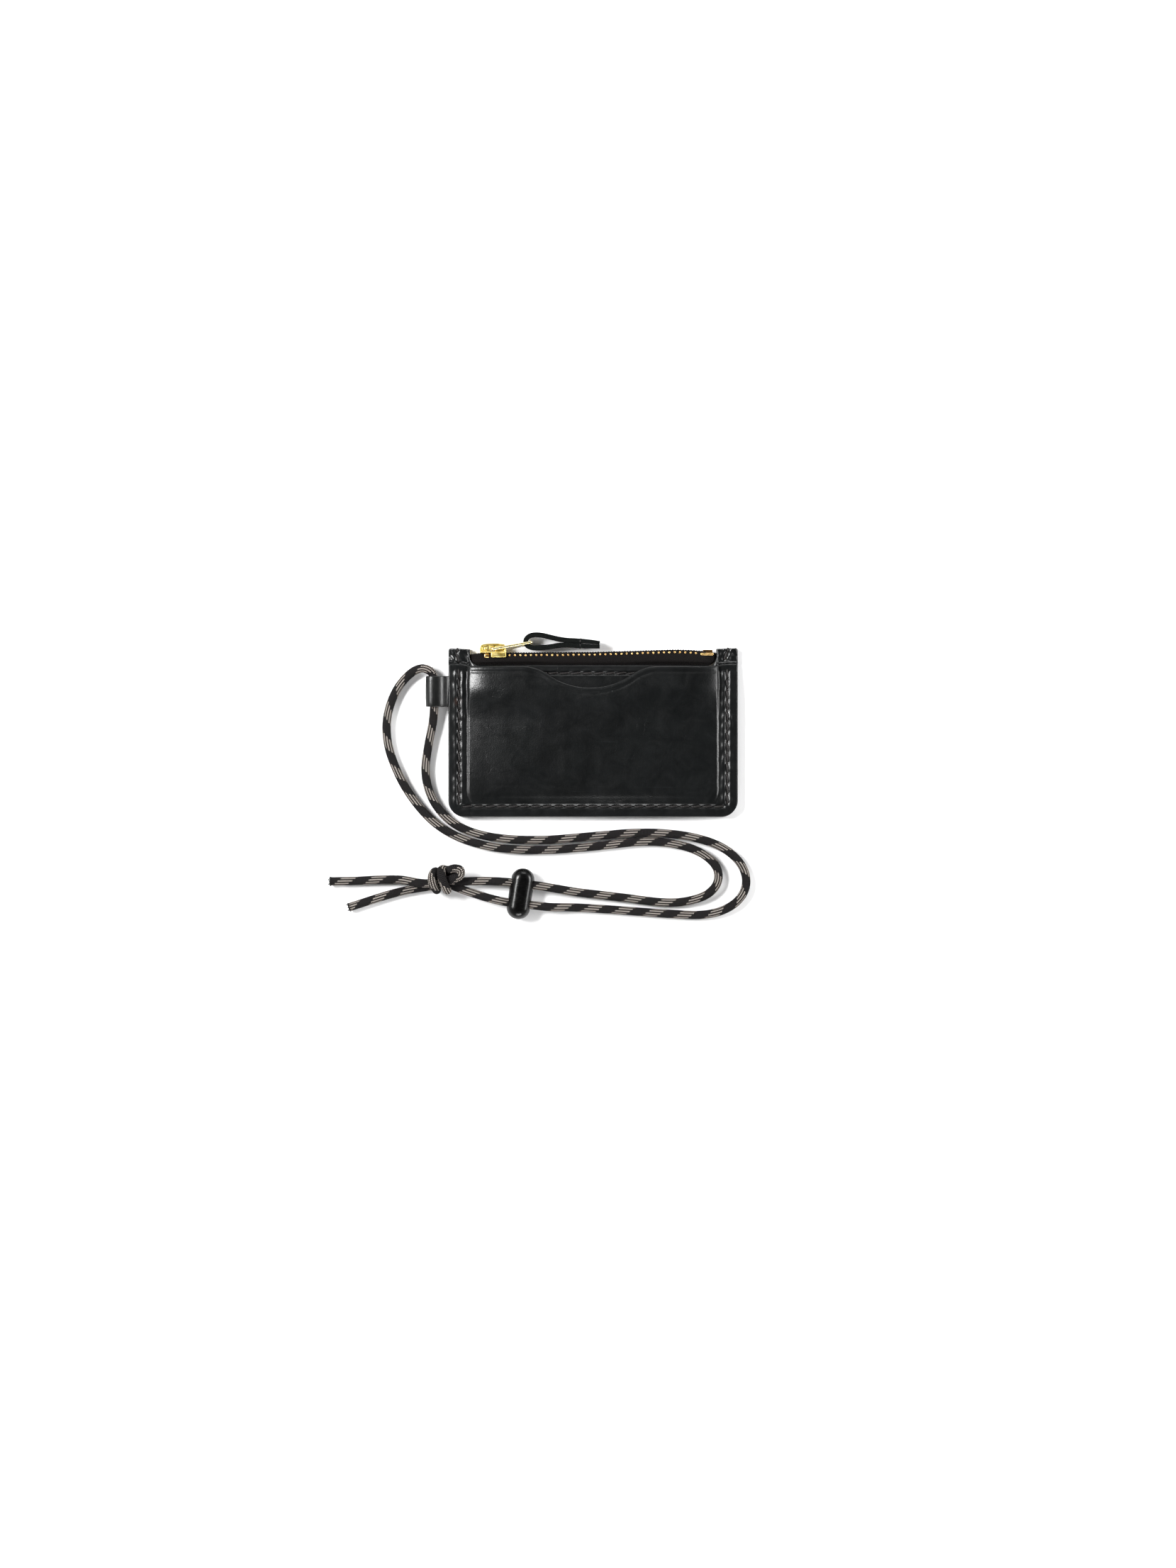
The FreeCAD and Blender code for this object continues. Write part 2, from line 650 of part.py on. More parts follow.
# ---------------------------------------------------------------- cord loop
def make_cord_loop():
    """A strap folded round the cord, its two skived ends sewn into the left seam."""
    body = new_body("cord_loop")
    seam = "back_leather"
    ring = sketch_on(body, "XZ_Plane", "-loop_base")
    circle(ring, "-loop_left", "loop_axis", "loop_outer")
    pad(body, ring, "loop_width", flipped=True)
    tongue = sketch_on(body, "XZ_Plane", "-loop_base")
    polygon(tongue, [("-loop_left+loop_bore", "loop_axis+loop_outer*loop_neck"),
                     ("-body_width/2-loop_gap", f"{seam}+tongue_half"),
                     ("-tongue_end", f"{seam}+tongue_half"),
                     ("-tongue_end", f"{seam}-tongue_half"),
                     ("-body_width/2-loop_gap", f"{seam}-tongue_half"),
                     ("-loop_left+loop_bore", "loop_axis-loop_outer*loop_neck")])
    pad(body, tongue, "loop_width", flipped=True)
    bore = sketch_on(body, "XZ_Plane", "-loop_base")
    circle(bore, "-loop_left", "loop_axis", "loop_bore")
    pocket(body, bore, "loop_width")


# ---------------------------------------------------------------- neck cord
# Both strands start in the middle of the leather loop, where they meet, and end in the knot.
STRAND_A = [
    (-65.65, 17.0, 3.5), (-65.65, 23.2, 3.5), (-67.6, 25.9, 3.3), (-71.4, 26.9, 3.0),
    (-76.2, 24.3, 2.4), (-81.2, 18.4, 1.9), (-84.9, 9.6, 1.9), (-85.9, -0.6, 1.9),
    (-83.2, -12.0, 1.9), (-76.0, -26.4, 1.9), (-63.8, -40.0, 1.9), (-45.6, -47.4, 1.9),
    (-23.0, -49.0, 1.9), (0.5, -47.3, 1.9), (22.0, -44.6, 1.9), (37.0, -46.4, 1.9),
    (46.8, -50.6, 1.9), (52.2, -56.6, 1.9), (51.6, -63.6, 1.9), (45.2, -68.7, 1.9),
    (32.0, -71.0, 1.9), (12.0, -68.2, 1.9), (-8.0, -66.0, 2.0), (-19.5, -63.75, 4.2),
    (-39.5, -61.3, 4.2), (-53.5, -61.6, 5.4),
]
STRAND_B = [
    (-65.65, 17.0, 3.5), (-65.65, 11.6, 3.5), (-66.1, 5.0, 2.6), (-68.3, -5.6, 1.9),
    (-69.9, -16.6, 1.9), (-67.0, -28.0, 1.9), (-58.6, -38.1, 1.9), (-44.2, -43.5, 1.9),
    (-23.0, -44.9, 1.9), (-1.0, -43.0, 1.9), (21.0, -41.0, 1.9), (40.0, -42.6, 1.9),
    (53.6, -47.0, 1.9), (61.9, -54.3, 1.9), (64.2, -63.2, 1.9), (59.4, -71.2, 1.9),
    (48.4, -75.8, 1.9), (32.4, -75.2, 1.9), (12.0, -73.6, 1.9), (-7.5, -72.3, 2.0),
    (-20.5, -72.0, 4.2), (-40.0, -69.6, 4.2), (-54.6, -64.9, 3.7),
]
TAIL_A = [
    (-66.5, -62.5, 6.4), (-72.0, -62.3, 5.9), (-79.0, -60.8, 2.4), (-88.0, -60.8, 1.9),
    (-98.5, -61.5, 1.9), (-109.0, -61.6, 1.9),
]
TAIL_B = [
    (-66.5, -63.6, 2.5), (-74.0, -64.6, 1.95), (-83.0, -66.6, 1.9), (-92.0, -69.4, 1.9),
    (-101.2, -72.4, 1.9),
]
ARC_SHARE = 0.45


def cord_path(route):
    """Straight runs joined by tangent arcs, each as large as its two runs allow."""
    points = [Vector(*p) for p in route]
    edges = []
    radii = []
    start = points[0]
    for before, corner, after in zip(points, points[1:], points[2:]):
        back = before - corner
        forward = after - corner
        reach = ARC_SHARE * min(back.Length, forward.Length)
        half_turn = (math.pi - back.getAngle(forward)) / 2
        radius = reach / math.tan(half_turn)
        back.normalize()
        forward.normalize()
        bisector = (back + forward).normalize()
        middle = corner + bisector * (radius / math.cos(half_turn) - radius)
        arc_start = corner + back * reach
        arc_end = corner + forward * reach
        edges.append(Part.LineSegment(start, arc_start).toShape())
        edges.append(Part.Arc(arc_start, middle, arc_end).toShape())
        radii.append(radius)
        start = arc_end
    edges.append(Part.LineSegment(start, points[-1]).toShape())
    return Part.Wire(edges), radii


def make_cords():
    radius = number("cord_size/2")
    strands = (("neck_cord_a", STRAND_A), ("neck_cord_b", STRAND_B),
               ("cord_tail_a", TAIL_A), ("cord_tail_b", TAIL_B))
    for node, route in strands:
        path, radii = cord_path(route)
        first = path.Edges[0]
        tangent = first.tangentAt(first.FirstParameter)
        section = Part.Wire([Part.Circle(Vector(*route[0]), tangent, radius).toShape()])
        thing = doc.addObject("Part::Feature", node)
        thing.Shape = path.makePipeShell([section], True, False)
        keep(node, thing)
        share = thing.Shape.Volume / (math.pi * radius ** 2 * path.Length)
        print(f"{node}: length {path.Length:.1f}, volume share {share:.4f}, arc radii",
              ", ".join(f"{r:.1f}" for r in radii))


def make_cord_bead():
    """A flattened pill-shaped bead with one hole for each strand."""
    body = new_body("cord_bead")
    outline = rectangle(sketch_on(body), "-bead_width/2", "bead_width/2",
                        "-bead_length/2", "bead_length/2")
    pad(body, outline, "bead_thick", both_ways=True)
    fillet(body, "bead_end_radius", lambda edge: abs(abs(direction(edge).z) - 1) < 1e-6)
    face = number("bead_thick/2")
    fillet(body, "bead_edge_radius", lambda edge: rim_at(face)(edge) or rim_at(-face)(edge))
    holes = sketch_on(body, "YZ_Plane")
    circle(holes, "bead_spread", "0", "bead_bore")
    circle(holes, "-bead_spread", "0", "bead_bore")
    pocket(body, holes, "bead_width*2", both_ways=True)
    body.Placement = Placement(
        Vector(number("bead_across"), number("bead_down"), number("bead_thick/2")),
        Rotation(Vector(0, 0, 1), -number("bead_turn")))


def make_cord_knot():
    """The outer shape of a doubled overhand knot: three round turns side by side."""
    length = number("knot_length")
    radius = number("knot_radius")
    core = number("knot_core")
    turns = 3
    bump = length / turns
    points = [Vector(-length / 2 + n * bump, core, 0) for n in range(turns + 1)]
    edges = [Part.LineSegment(Vector(-length / 2, 0, 0), points[0]).toShape()]
    for start, end in zip(points, points[1:]):
        crest = Vector((start.x + end.x) / 2, radius, 0)
        edges.append(Part.Arc(start, crest, end).toShape())
    edges.append(Part.LineSegment(points[-1], Vector(length / 2, 0, 0)).toShape())
    edges.append(Part.LineSegment(Vector(length / 2, 0, 0), Vector(-length / 2, 0, 0)).toShape())
    face = Part.Face(Part.Wire(edges))
    thing = doc.addObject("Part::Feature", "cord_knot")
    thing.Shape = face.revolve(Vector(0, 0, 0), Vector(1, 0, 0), 360)
    thing.Placement = Placement(
        Vector(number("knot_across"), number("knot_down"), radius), Rotation())
    keep("cord_knot", thing)


# ---------------------------------------------------------------- build, check and write
for make in (make_back_panel, make_front_panel, make_card_pocket, make_seam_thread,
             make_tab_threads, make_zip_threads, make_zip_tapes, make_zip_teeth,
             make_zip_stops, make_slider_body, make_slider_cap, make_pull_ring,
             make_pull_thong, make_cord_loop, make_cords, make_cord_bead, make_cord_knot):
    make()
doc.recompute()

for thing in doc.Objects:
    if {"Invalid", "Error"} & set(thing.State):
        raise RuntimeError(f"{thing.Label} failed: {thing.State}")
for node, thing in nodes.items():
    if thing.Shape.isNull() or not thing.Shape.isValid():
        raise RuntimeError(f"{node} has no valid shape")
for node, thing in nodes.items():
    thing.Shape.exportStep(f"parts/{node}.step")
print(len(nodes), "nodes written")
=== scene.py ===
"""Looks of the neck pouch wallet: waxed black leather, brass zip and a braided neck cord.

Lengths are written in millimetres and turned into metres where a mesh is made.
"""

import math
import random

import bmesh
import bpy
import numpy as np
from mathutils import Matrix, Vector


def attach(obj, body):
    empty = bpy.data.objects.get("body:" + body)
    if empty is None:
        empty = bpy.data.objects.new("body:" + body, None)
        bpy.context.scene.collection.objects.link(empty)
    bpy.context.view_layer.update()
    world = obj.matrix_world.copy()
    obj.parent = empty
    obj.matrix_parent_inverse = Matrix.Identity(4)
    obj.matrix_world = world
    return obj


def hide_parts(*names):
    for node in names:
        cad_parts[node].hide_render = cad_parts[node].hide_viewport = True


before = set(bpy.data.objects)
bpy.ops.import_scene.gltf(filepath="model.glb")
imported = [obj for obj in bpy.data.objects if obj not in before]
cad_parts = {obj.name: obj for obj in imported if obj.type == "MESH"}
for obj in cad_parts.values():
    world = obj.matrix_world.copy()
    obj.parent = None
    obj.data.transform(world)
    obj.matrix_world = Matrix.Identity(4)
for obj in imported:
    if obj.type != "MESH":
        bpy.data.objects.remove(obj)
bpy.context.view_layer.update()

MM = 0.001
norm = np.linalg.norm
link = bpy.context.scene.collection.objects.link
random.seed(7)
RNG = np.random.default_rng(7)


# -------- camera, floor and light
# The view straight down, in metres: its height on the table and its middle.
VIEW_HEIGHT = 0.6487
VIEW_MIDDLE = (-0.0021, -0.0213)
FOCUS_LEVEL = 0.004
FLOOR_REACH = 3
FLOOR_LEVEL = -0.0002
# Each soft box: its place, its size and its power in watts.
SOFT_BOXES = {
    "key": ((-0.95, 0.36, 1), (0.58, 0.28), 34),
    "fill": ((1.4, 0.2, 0.62), (1.1, 0.25), 27),
    "low": ((0.1, -1.5, 0.75), (0.9, 0.35), 15),
    "far": ((0.2, 1.6, 0.75), (0.9, 0.35), 7),
}
LIGHT_AIM = (-0.005, -0.02, 0)


def grey_ramp(ramp, stops):
    """Sets a ramp node's two stops, each (position, level)."""
    for element, (position, level) in zip(ramp.color_ramp.elements, stops):
        element.position = position
        element.color = (level, level, level, 1)
    return ramp.outputs["Color"]


def make_camera():
    data = bpy.data.cameras.new("camera")
    data.sensor_fit = "VERTICAL"
    data.sensor_height = 36
    data.lens = 135
    data.clip_end = 20
    camera = bpy.data.objects.new("camera", data)
    camera.location = (*VIEW_MIDDLE, VIEW_HEIGHT * data.lens / data.sensor_height + FOCUS_LEVEL)
    link(camera)
    bpy.context.scene.camera = camera


def make_floor():
    mesh = bpy.data.meshes.new("floor")
    corners = ((-1, -1), (1, -1), (1, 1), (-1, 1))
    mesh.from_pydata([(x * FLOOR_REACH, y * FLOOR_REACH, 0) for x, y in corners],
                     [], [(0, 1, 2, 3)])
    floor = bpy.data.objects.new("floor", mesh)
    link(floor)
    material = bpy.data.materials.new("floor")
    material.use_nodes = True
    shader = material.node_tree.nodes["Principled BSDF"]
    shader.inputs["Base Color"].default_value = (0.94, 0.94, 0.94, 1)
    shader.inputs["Roughness"].default_value = 0.9
    shader.inputs["Specular IOR Level"].default_value = 0.1
    mesh.materials.append(material)
    floor.location.z = FLOOR_LEVEL


def area_light(name, place, size, power):
    """A soft box of size (width, height) that looks at the pouch."""
    data = bpy.data.lights.new(name, "AREA")
    data.shape = "RECTANGLE"
    data.size, data.size_y = size
    data.energy = power
    light = bpy.data.objects.new(name, data)
    light.location = place
    aim = Vector(LIGHT_AIM) - Vector(place)
    light.rotation_euler = aim.to_track_quat("-Z", "Y").to_euler()
    link(light)


def make_light():
    """A dim studio: dark overhead, paler towards the walls, with four soft boxes."""
    world = bpy.data.worlds.new("studio")
    world.use_nodes = True
    nodes, links = world.node_tree.nodes, world.node_tree.links
    place = nodes.new("ShaderNodeTexCoord")
    axes = nodes.new("ShaderNodeSeparateXYZ")
    ramp = nodes.new("ShaderNodeValToRGB")
    links.new(place.outputs["Generated"], axes.inputs["Vector"])
    links.new(axes.outputs["Z"], ramp.inputs["Fac"])
    grey = grey_ramp(ramp, ((0.05, 0.62), (0.85, 0.07)))
    links.new(grey, nodes["Background"].inputs["Color"])
    nodes["Background"].inputs["Strength"].default_value = 1
    bpy.context.scene.world = world
    for name, box in SOFT_BOXES.items():
        area_light(name, *box)
    bpy.context.scene.view_settings.view_transform = "Standard"
    bpy.context.scene.view_settings.look = "None"


make_camera()
make_floor()
make_light()


# -------- materials
class Look:
    """A Principled material with textures in the piece's own coordinates."""

    def __init__(self, name, specular=0.5, metallic=0):
        self.material = bpy.data.materials.new(name)
        self.material.use_nodes = True
        self.nodes = self.material.node_tree.nodes
        self.links = self.material.node_tree.links
        self.shader = self.nodes["Principled BSDF"]
        self.shader.inputs["Specular IOR Level"].default_value = specular
        self.shader.inputs["Metallic"].default_value = metallic
        self.place = self.nodes.new("ShaderNodeTexCoord").outputs["Object"]

    def node(self, kind, inputs=(), **settings):
        made = self.nodes.new("ShaderNode" + kind)
        for name, value in settings.items():
            setattr(made, name, value)
        for socket, value in dict(inputs).items():
            if isinstance(value, bpy.types.NodeSocket):
                self.links.new(value, made.inputs[socket])
            else:
                made.inputs[socket].default_value = value
        return made

    def stretched(self, scale, turn=(0, 0, 0)):
        """The piece's coordinates times scale, per millimetre."""
        per_metre = [1000 * s for s in scale]
        inputs = {"Vector": self.place, "Scale": per_metre, "Rotation": turn}
        return self.node("Mapping", inputs).outputs["Vector"]

    def noise(self, scale, detail=4, roughness=0.55, warp=0, turn=(0, 0, 0)):
        scale = scale if isinstance(scale, tuple) else (scale,) * 3
        inputs = {"Vector": self.stretched(scale, turn), "Scale": 1, "Detail": detail,
                  "Roughness": roughness, "Distortion": warp}
        return self.node("TexNoise", inputs).outputs["Fac"]

    def cells(self, scale, feature, bend):
        """Voronoi cells whose borders are bent out of line."""
        vector = self.stretched((scale,) * 3)
        shake = self.node("TexNoise", {"Vector": vector, "Scale": 0.7, "Detail": 3.0})
        offset = self.node("VectorMath", {0: shake.outputs["Color"], "Scale": bend},
                           operation="SCALE")
        vector = self.node("VectorMath", {0: vector, 1: offset.outputs["Vector"]},
                           operation="ADD").outputs["Vector"]
        return self.node("TexVoronoi", {"Vector": vector, "Scale": 1.0},
                         feature=feature).outputs["Distance"]

    def spot(self, place, near, far, level):
        """level up to near metres from a place, fading to 0 at far."""
        away = self.node("VectorMath", {0: self.place, 1: place}, operation="DISTANCE")
        inputs = {"Value": away.outputs["Value"], "From Min": near, "From Max": far,
                  "To Min": level, "To Max": 0}
        return self.node("MapRange", inputs).outputs[0]

    def band(self, value, *stops):
        return grey_ramp(self.node("ValToRGB", {"Fac": value}), stops)

    def mix(self, factor, first, second, blend="MIX"):
        """Mixes two colours, each a socket or (red, green, blue)."""
        first, second = (c if isinstance(c, bpy.types.NodeSocket) else (*c, 1)
                         for c in (first, second))
        return self.node("Mix", {0: factor, 6: first, 7: second}, data_type="RGBA",
                         blend_type=blend).outputs[2]

    def add(self, total, *terms):
        """total plus each (value, weight)."""
        for value, weight in terms:
            total = self.node("Math", {0: value, 1: weight, 2: total},
                              operation="MULTIPLY_ADD").outputs[0]
        return total

    def finish(self, color, height, depth, strength, rough):
        """Links the shader's inputs; depth is the relief's in millimetres."""
        inputs = {"Height": height, "Distance": depth * MM, "Strength": strength}
        bump = self.node("Bump", inputs)
        for name, socket in (("Base Color", color), ("Normal", bump.outputs["Normal"]),
                             ("Roughness", rough)):
            self.links.new(socket, self.shader.inputs[name])
        return self


# In metres from the pouch's origin.
STAIN_PLACE = (-0.0559, 0.013, 0.005)
RUBBED_CORNER = (-0.049, 0.0225, 0.008)


def waxed_leather(name, dark, light, roughness):
    """Fine grain, pores, flecks, scratches, old creases darkened with painted shade, and rubbed
    wax.
    """
    look = Look(name, 0.4)
    tone = look.band(look.noise(0.07, 5, 0.62, 0.6), (0.3, 0), (0.72, 1))
    base = look.mix(tone, dark, light)
    fleck = look.band(look.noise(1.7, 3, 0.6), (0.68, 0), (0.8, 0.6))
    base = look.mix(fleck, base, tuple(c * 4.5 for c in light))
    scratch = look.band(look.noise((0.05, 2.4, 0.6), 3, 0.5, 0.35, (0, 0, 0.9)),
                        (0.7, 0), (0.75, 0.5))
    base = look.mix(scratch, base, tuple(c * 4 for c in light))
    shaded_crease = look.band(look.cells(0.11, "DISTANCE_TO_EDGE", 2.2), (0, 1), (0.02, 0))
    worn = look.band(look.noise(0.09, 2), (0.54, 0), (0.66, 1))
    shaded_crease = look.mix(1, shaded_crease, worn, "MULTIPLY")
    # Painted shade: the creases are darkened in colour as well as dented in the height below.
    base = look.mix(shaded_crease, base, tuple(c * 0.3 for c in dark))
    stain = look.spot(STAIN_PLACE, 0.0006, 0.0024, 0.55)
    base = look.mix(stain, base, (0.045, 0.02, 0.013))
    grain = look.cells(2.1, "SMOOTH_F1", 0.5)
    pores = look.noise(4.5, 4, 0.6)
    streaks = look.noise((2.6, 0.3, 1), 4, 0.6, 0.3, (0, 0, 0.25))
    waves = look.noise(0.35, 4, 0.5)
    height = look.add(grain, (pores, 0.7), (streaks, 0.8), (waves, 1.6), (shaded_crease, -0.8))
    wear = look.noise(0.12, 6, 0.65, 0.8)
    wear = look.add(look.band(wear, (0.3, 0), (0.7, 0.7)), (streaks, 0.5))
    rough = look.node("MapRange", {"Value": wear, "To Min": roughness - 0.05,
                                   "To Max": roughness + 0.10}).outputs[0]
    rough = look.add(rough, (look.spot(RUBBED_CORNER, 0.003, 0.011, -0.05), 1))
    return look.finish(base, height, 0.035, 0.8, rough)


LEATHER = waxed_leather(
    "waxed_leather", (0.0009, 0.0012, 0.0013), (0.0028, 0.0034, 0.0036), 0.29)
LOOP_LEATHER = waxed_leather(
    "loop_leather", (0.0022, 0.0026, 0.0026), (0.006, 0.0063, 0.006), 0.3)


def suede():
    """The thong's napped side, which the photo looks down on."""
    look = Look("thong_leather", 0.06)
    nap = look.noise(1.3, 5, 0.7)
    shade = look.band(nap, (0.3, 0), (0.75, 1))
    color = look.mix(shade, (0.0008, 0.0012, 0.0011), (0.0072, 0.0084, 0.0078))
    height = look.add(nap, (look.noise((1.2, 6, 4), 4, 0.7), 0.8))
    return look.finish(color, height, 0.16, 0.8, look.band(nap, (0, 0.72), (1, 0.95)))


SUEDE = suede()


def edge_leather():
    """The cut edge, burnished nearly black."""
    look = Look("burnished_edge", 0.4)
    layers = look.noise((0.2, 0.2, 4.5), 4, 0.6)
    color = look.mix(layers, (0.003, 0.003, 0.0032), (0.012, 0.011, 0.01))
    height = look.add(layers, (look.noise(2.5, 3), 0.5))
    return look.finish(color, height, 0.06, 0.6, look.band(layers, (0, 0.3), (1, 0.55)))


EDGE = edge_leather()


def thread_look(name, dark, light, roughness, shine=0.05):
    """Twisted or braided fibre."""
    look = Look(name, shine)
    fibre = look.noise(3.6, 4, 0.7)
    rough = look.band(fibre, (0.2, roughness - 0.1), (0.8, roughness + 0.15))
    return look.finish(look.mix(fibre, dark, light), fibre, 0.05, 0.7, rough)


THREAD = thread_look(
    "waxed_thread", (0.002, 0.0017, 0.0017), (0.013, 0.0105, 0.01), 0.45, 0.3)
# Painted shade: the gaps between the braid's picks; the crests carry the charcoal yarn's own
# colour.
CORD_GAP_SHADE = thread_look("cord_gap_painted_shade", (0.001, 0.0009, 0.0009), (0.004, 0.0036, 0.0036), 0.8)
CORD_CREST = thread_look(
    "cord_charcoal", (0.009, 0.0084, 0.0086), (0.031, 0.029, 0.0294), 0.72)
CORD_LIGHT = thread_look("cord_tracer", (0.28, 0.245, 0.218), (0.56, 0.505, 0.455), 0.75)
CORD_END = thread_look("cord_end", (0.003, 0.0028, 0.0028), (0.012, 0.011, 0.0105), 0.42)


def tape_look():
    """Zip tape: a weave of fine ribs on both diagonals, with paler specks."""
    look = Look("zip_tape", 0.04)
    ribs = []
    for turn in (0.9, -0.9):
        place = look.stretched((1, 1, 0.3), (0, 0, turn))
        inputs = {"Vector": place, "Scale": 0.62, "Distortion": 0.6, "Detail": 1}
        ribs.append(look.node("TexWave", inputs, wave_profile="SIN").outputs["Fac"])
    weave = look.node("Math", dict(enumerate(ribs)), operation="MAXIMUM").outputs[0]
    fuzz = look.noise(2.6, 4, 0.7)
    speck = look.band(look.noise(2.2, 3, 0.8), (0.5, 0), (0.72, 1))
    tone = look.add(weave, (fuzz, 0.3), (speck, 0.8))
    tone = look.band(tone, (0.5, 0), (1, 1))
    color = look.mix(tone, (0.0004, 0.0004, 0.0004), (0.0108, 0.0096, 0.0094))
    height = look.add(weave, (fuzz, 0.5))
    return look.finish(color, height, 0.13, 0.9, look.band(fuzz, (0, 0.78), (1, 0.95)))


TAPE = tape_look()


def metal(name, dark, light, roughness, relief=0.02):
    """Tarnished and scuffed metal; relief is the scuffs' depth in millimetres."""
    look = Look(name, metallic=1)
    stain = look.noise(0.45, 4, 0.6)
    color = look.mix(look.band(stain, (0.35, 0), (0.65, 1)), dark, light)
    scuff = look.noise((0.6, 5, 5), 4, 0.6)
    rough = look.band(scuff, (0.3, roughness - 0.05), (0.75, roughness + 0.12))
    return look.finish(color, look.add(scuff, (look.noise(0.9, 3), 0.8)), relief, 0.5, rough)


BRASS = metal("zip_brass", (0.62, 0.36, 0.12), (0.86, 0.58, 0.24), 0.26)
GOLD = metal("gold_plate", (0.5, 0.36, 0.07), (0.93, 0.78, 0.32), 0.36, 0.012)
RING_GOLD = metal("ring_gold", (0.74, 0.58, 0.24), (0.97, 0.88, 0.56), 0.24, 0.001)


def bead_look():
    """Moulded plastic: mottled and faintly uneven."""
    look = Look("bead_plastic", 0.3)
    mottle = look.noise(0.8, 4, 0.6)
    color = look.mix(mottle, (0.0003, 0.0003, 0.0003), (0.0014, 0.0013, 0.0013))
    height = look.add(look.noise(2.2, 3), (look.noise(0.4, 2), 1.2))
    return look.finish(color, height, 0.02, 0.5, look.band(mottle, (0.3, 0.2), (0.7, 0.3)))


BEAD = bead_look()
# Painted shade: near-black brass for the parts of the zip that sit in shadow.
BRASS_PAINTED_SHADE = metal("brass_painted_shade", (0.05, 0.026, 0.01), (0.16, 0.09, 0.035), 0.35)


# -------- mesh helpers
def piece(name, points, faces, looks, body, replaces=(), slots=None):
    """A finished object from points in millimetres."""
    mesh = bpy.data.meshes.new(name)
    mesh.from_pydata((np.asarray(points, float) * MM).tolist(), [], faces)
    for look in looks:
        mesh.materials.append(look.material)
    if slots is not None:
        mesh.polygons.foreach_set("material_index", np.asarray(slots, np.int32))
    mesh.polygons.foreach_set("use_smooth", np.full(len(mesh.polygons), True))
    mesh.update()
    made = bpy.data.objects.new(name, mesh)
    link(made)
    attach(made, body)
    if replaces:
        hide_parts(*replaces)
    return made


class Parts:
    """Gathers points and faces of several shells for one piece."""

    def __init__(self):
        self.points = []
        self.faces = []
        self.slots = []

    def add(self, points, faces, slot=0):
        base = len(self.points)
        self.points += [tuple(p) for p in points]
        self.faces += [tuple(base + i for i in face) for face in faces]
        self.slots += [slot] * len(faces)

    def loft(self, points, rows, columns):
        """A closed skin through rows of points, capped at both ends."""
        self.add(points, grid_faces(rows, columns, True) + caps(rows, columns))

    def finish(self, name, looks, body, slot, *replaces, mirrored=False):
        """mirrored turns the faces of shells that were placed mirrored."""
        if mirrored:
            self.faces = [face[::-1] for face in self.faces]
        return piece(name, self.points, self.faces, looks, body, replaces, self.slots)


def bell(away, width):
    return np.exp(-(away / width) ** 2)


def smooth(t):
    t = np.clip(t, 0, 1)
    return t * t * (3 - 2 * t)


def spline(points, steps=10, name="line"):
    """The points of a NURBS line through control points given in millimetres."""
    data = bpy.data.curves.new(name, "CURVE")
    data.dimensions = "3D"
    data.resolution_u = steps
    line = data.splines.new("NURBS")
    line.points.add(len(points) - 1)
    for target, point in zip(line.points, points):
        target.co = (*np.multiply(point, MM), 1)
    line.order_u = 3
    line.use_endpoint_u = True
    holder = bpy.data.objects.new(name, data)
    link(holder)
    bpy.context.view_layer.update()
    graph = bpy.context.evaluated_depsgraph_get()
    mesh = bpy.data.meshes.new_from_object(holder.evaluated_get(graph))
    found = np.array([v.co for v in mesh.vertices]) / MM
    bpy.data.objects.remove(holder)
    bpy.data.meshes.remove(mesh)
    return found


class Line:
    """A line with a frame at each point that turns as little as it can."""

    def __init__(self, points, up=(0, 0, 1)):
        self.points = points = np.asarray(points, float)
        steps = norm(np.diff(points, axis=0), axis=1)
        self.along = np.concatenate([[0], np.cumsum(steps)])
        self.length = self.along[-1]
        tangent = np.gradient(points, axis=0)
        tangent /= norm(tangent, axis=1)[:, None]
        side = np.cross(up, tangent[0])
        side /= norm(side)
        sides = [side]
        for direction in tangent[1:]:
            side = sides[-1] - direction * np.dot(sides[-1], direction)
            sides.append(side / norm(side))
        self.tangent = tangent
        self.side = np.array(sides)
        self.lift = np.cross(tangent, self.side)

    def at(self, distance, values):
        return np.stack([np.interp(distance, self.along, values[:, k]) for k in range(3)], -1)

    def tube(self, distance, radius, angle):
        """Points of a tube's surface from grids of one size."""
        centre, side, lift = (self.at(distance, values)
                              for values in (self.points, self.side, self.lift))
        points = (centre + side * (radius * np.cos(angle))[..., None]
                  + lift * (radius * np.sin(angle))[..., None])
        return points.reshape(-1, 3)


def grid_faces(rows, columns, closed=False, base=0):
    """Quads of a grid of points; closed joins the last column to the first."""
    index = base + np.arange(rows * columns).reshape(rows, columns)
    if closed:
        index = np.concatenate([index, index[:, :1]], 1)
    corners = (index[:-1, :-1], index[:-1, 1:], index[1:, 1:], index[1:, :-1])
    return np.stack(corners, -1).reshape(-1, 4).tolist()


def caps(rows, columns):
    """The two end faces of a closed grid."""
    first = tuple(range(columns))
    last = tuple(range((rows - 1) * columns, rows * columns))
    return [first[::-1], last]


def tube_grid(line, rows, sides):
    """The distances and angles of a tube's surface points."""
    return np.meshgrid(np.linspace(0, line.length, rows),
                       np.linspace(0, 2 * math.pi, sides, endpoint=False), indexing="ij")


def rope(parts, route, radius, plies=3, lay=2.3, sides=12, step=0.18):
    """A short twisted thread along a route."""
    line = Line(spline(route, 6))
    rows = max(6, int(line.length / step))
    distance, angle = tube_grid(line, rows, sides)
    turn = 2 * math.pi * distance / lay
    lobes = np.abs(np.cos(plies / 2 * (angle - turn)))
    taper = np.minimum(1, np.minimum(distance, line.length - distance) / radius * 0.8 + 0.35)
    radius = radius * taper * (0.74 + 0.3 * lobes)
    parts.loft(line.tube(distance, radius, angle), rows, sides)


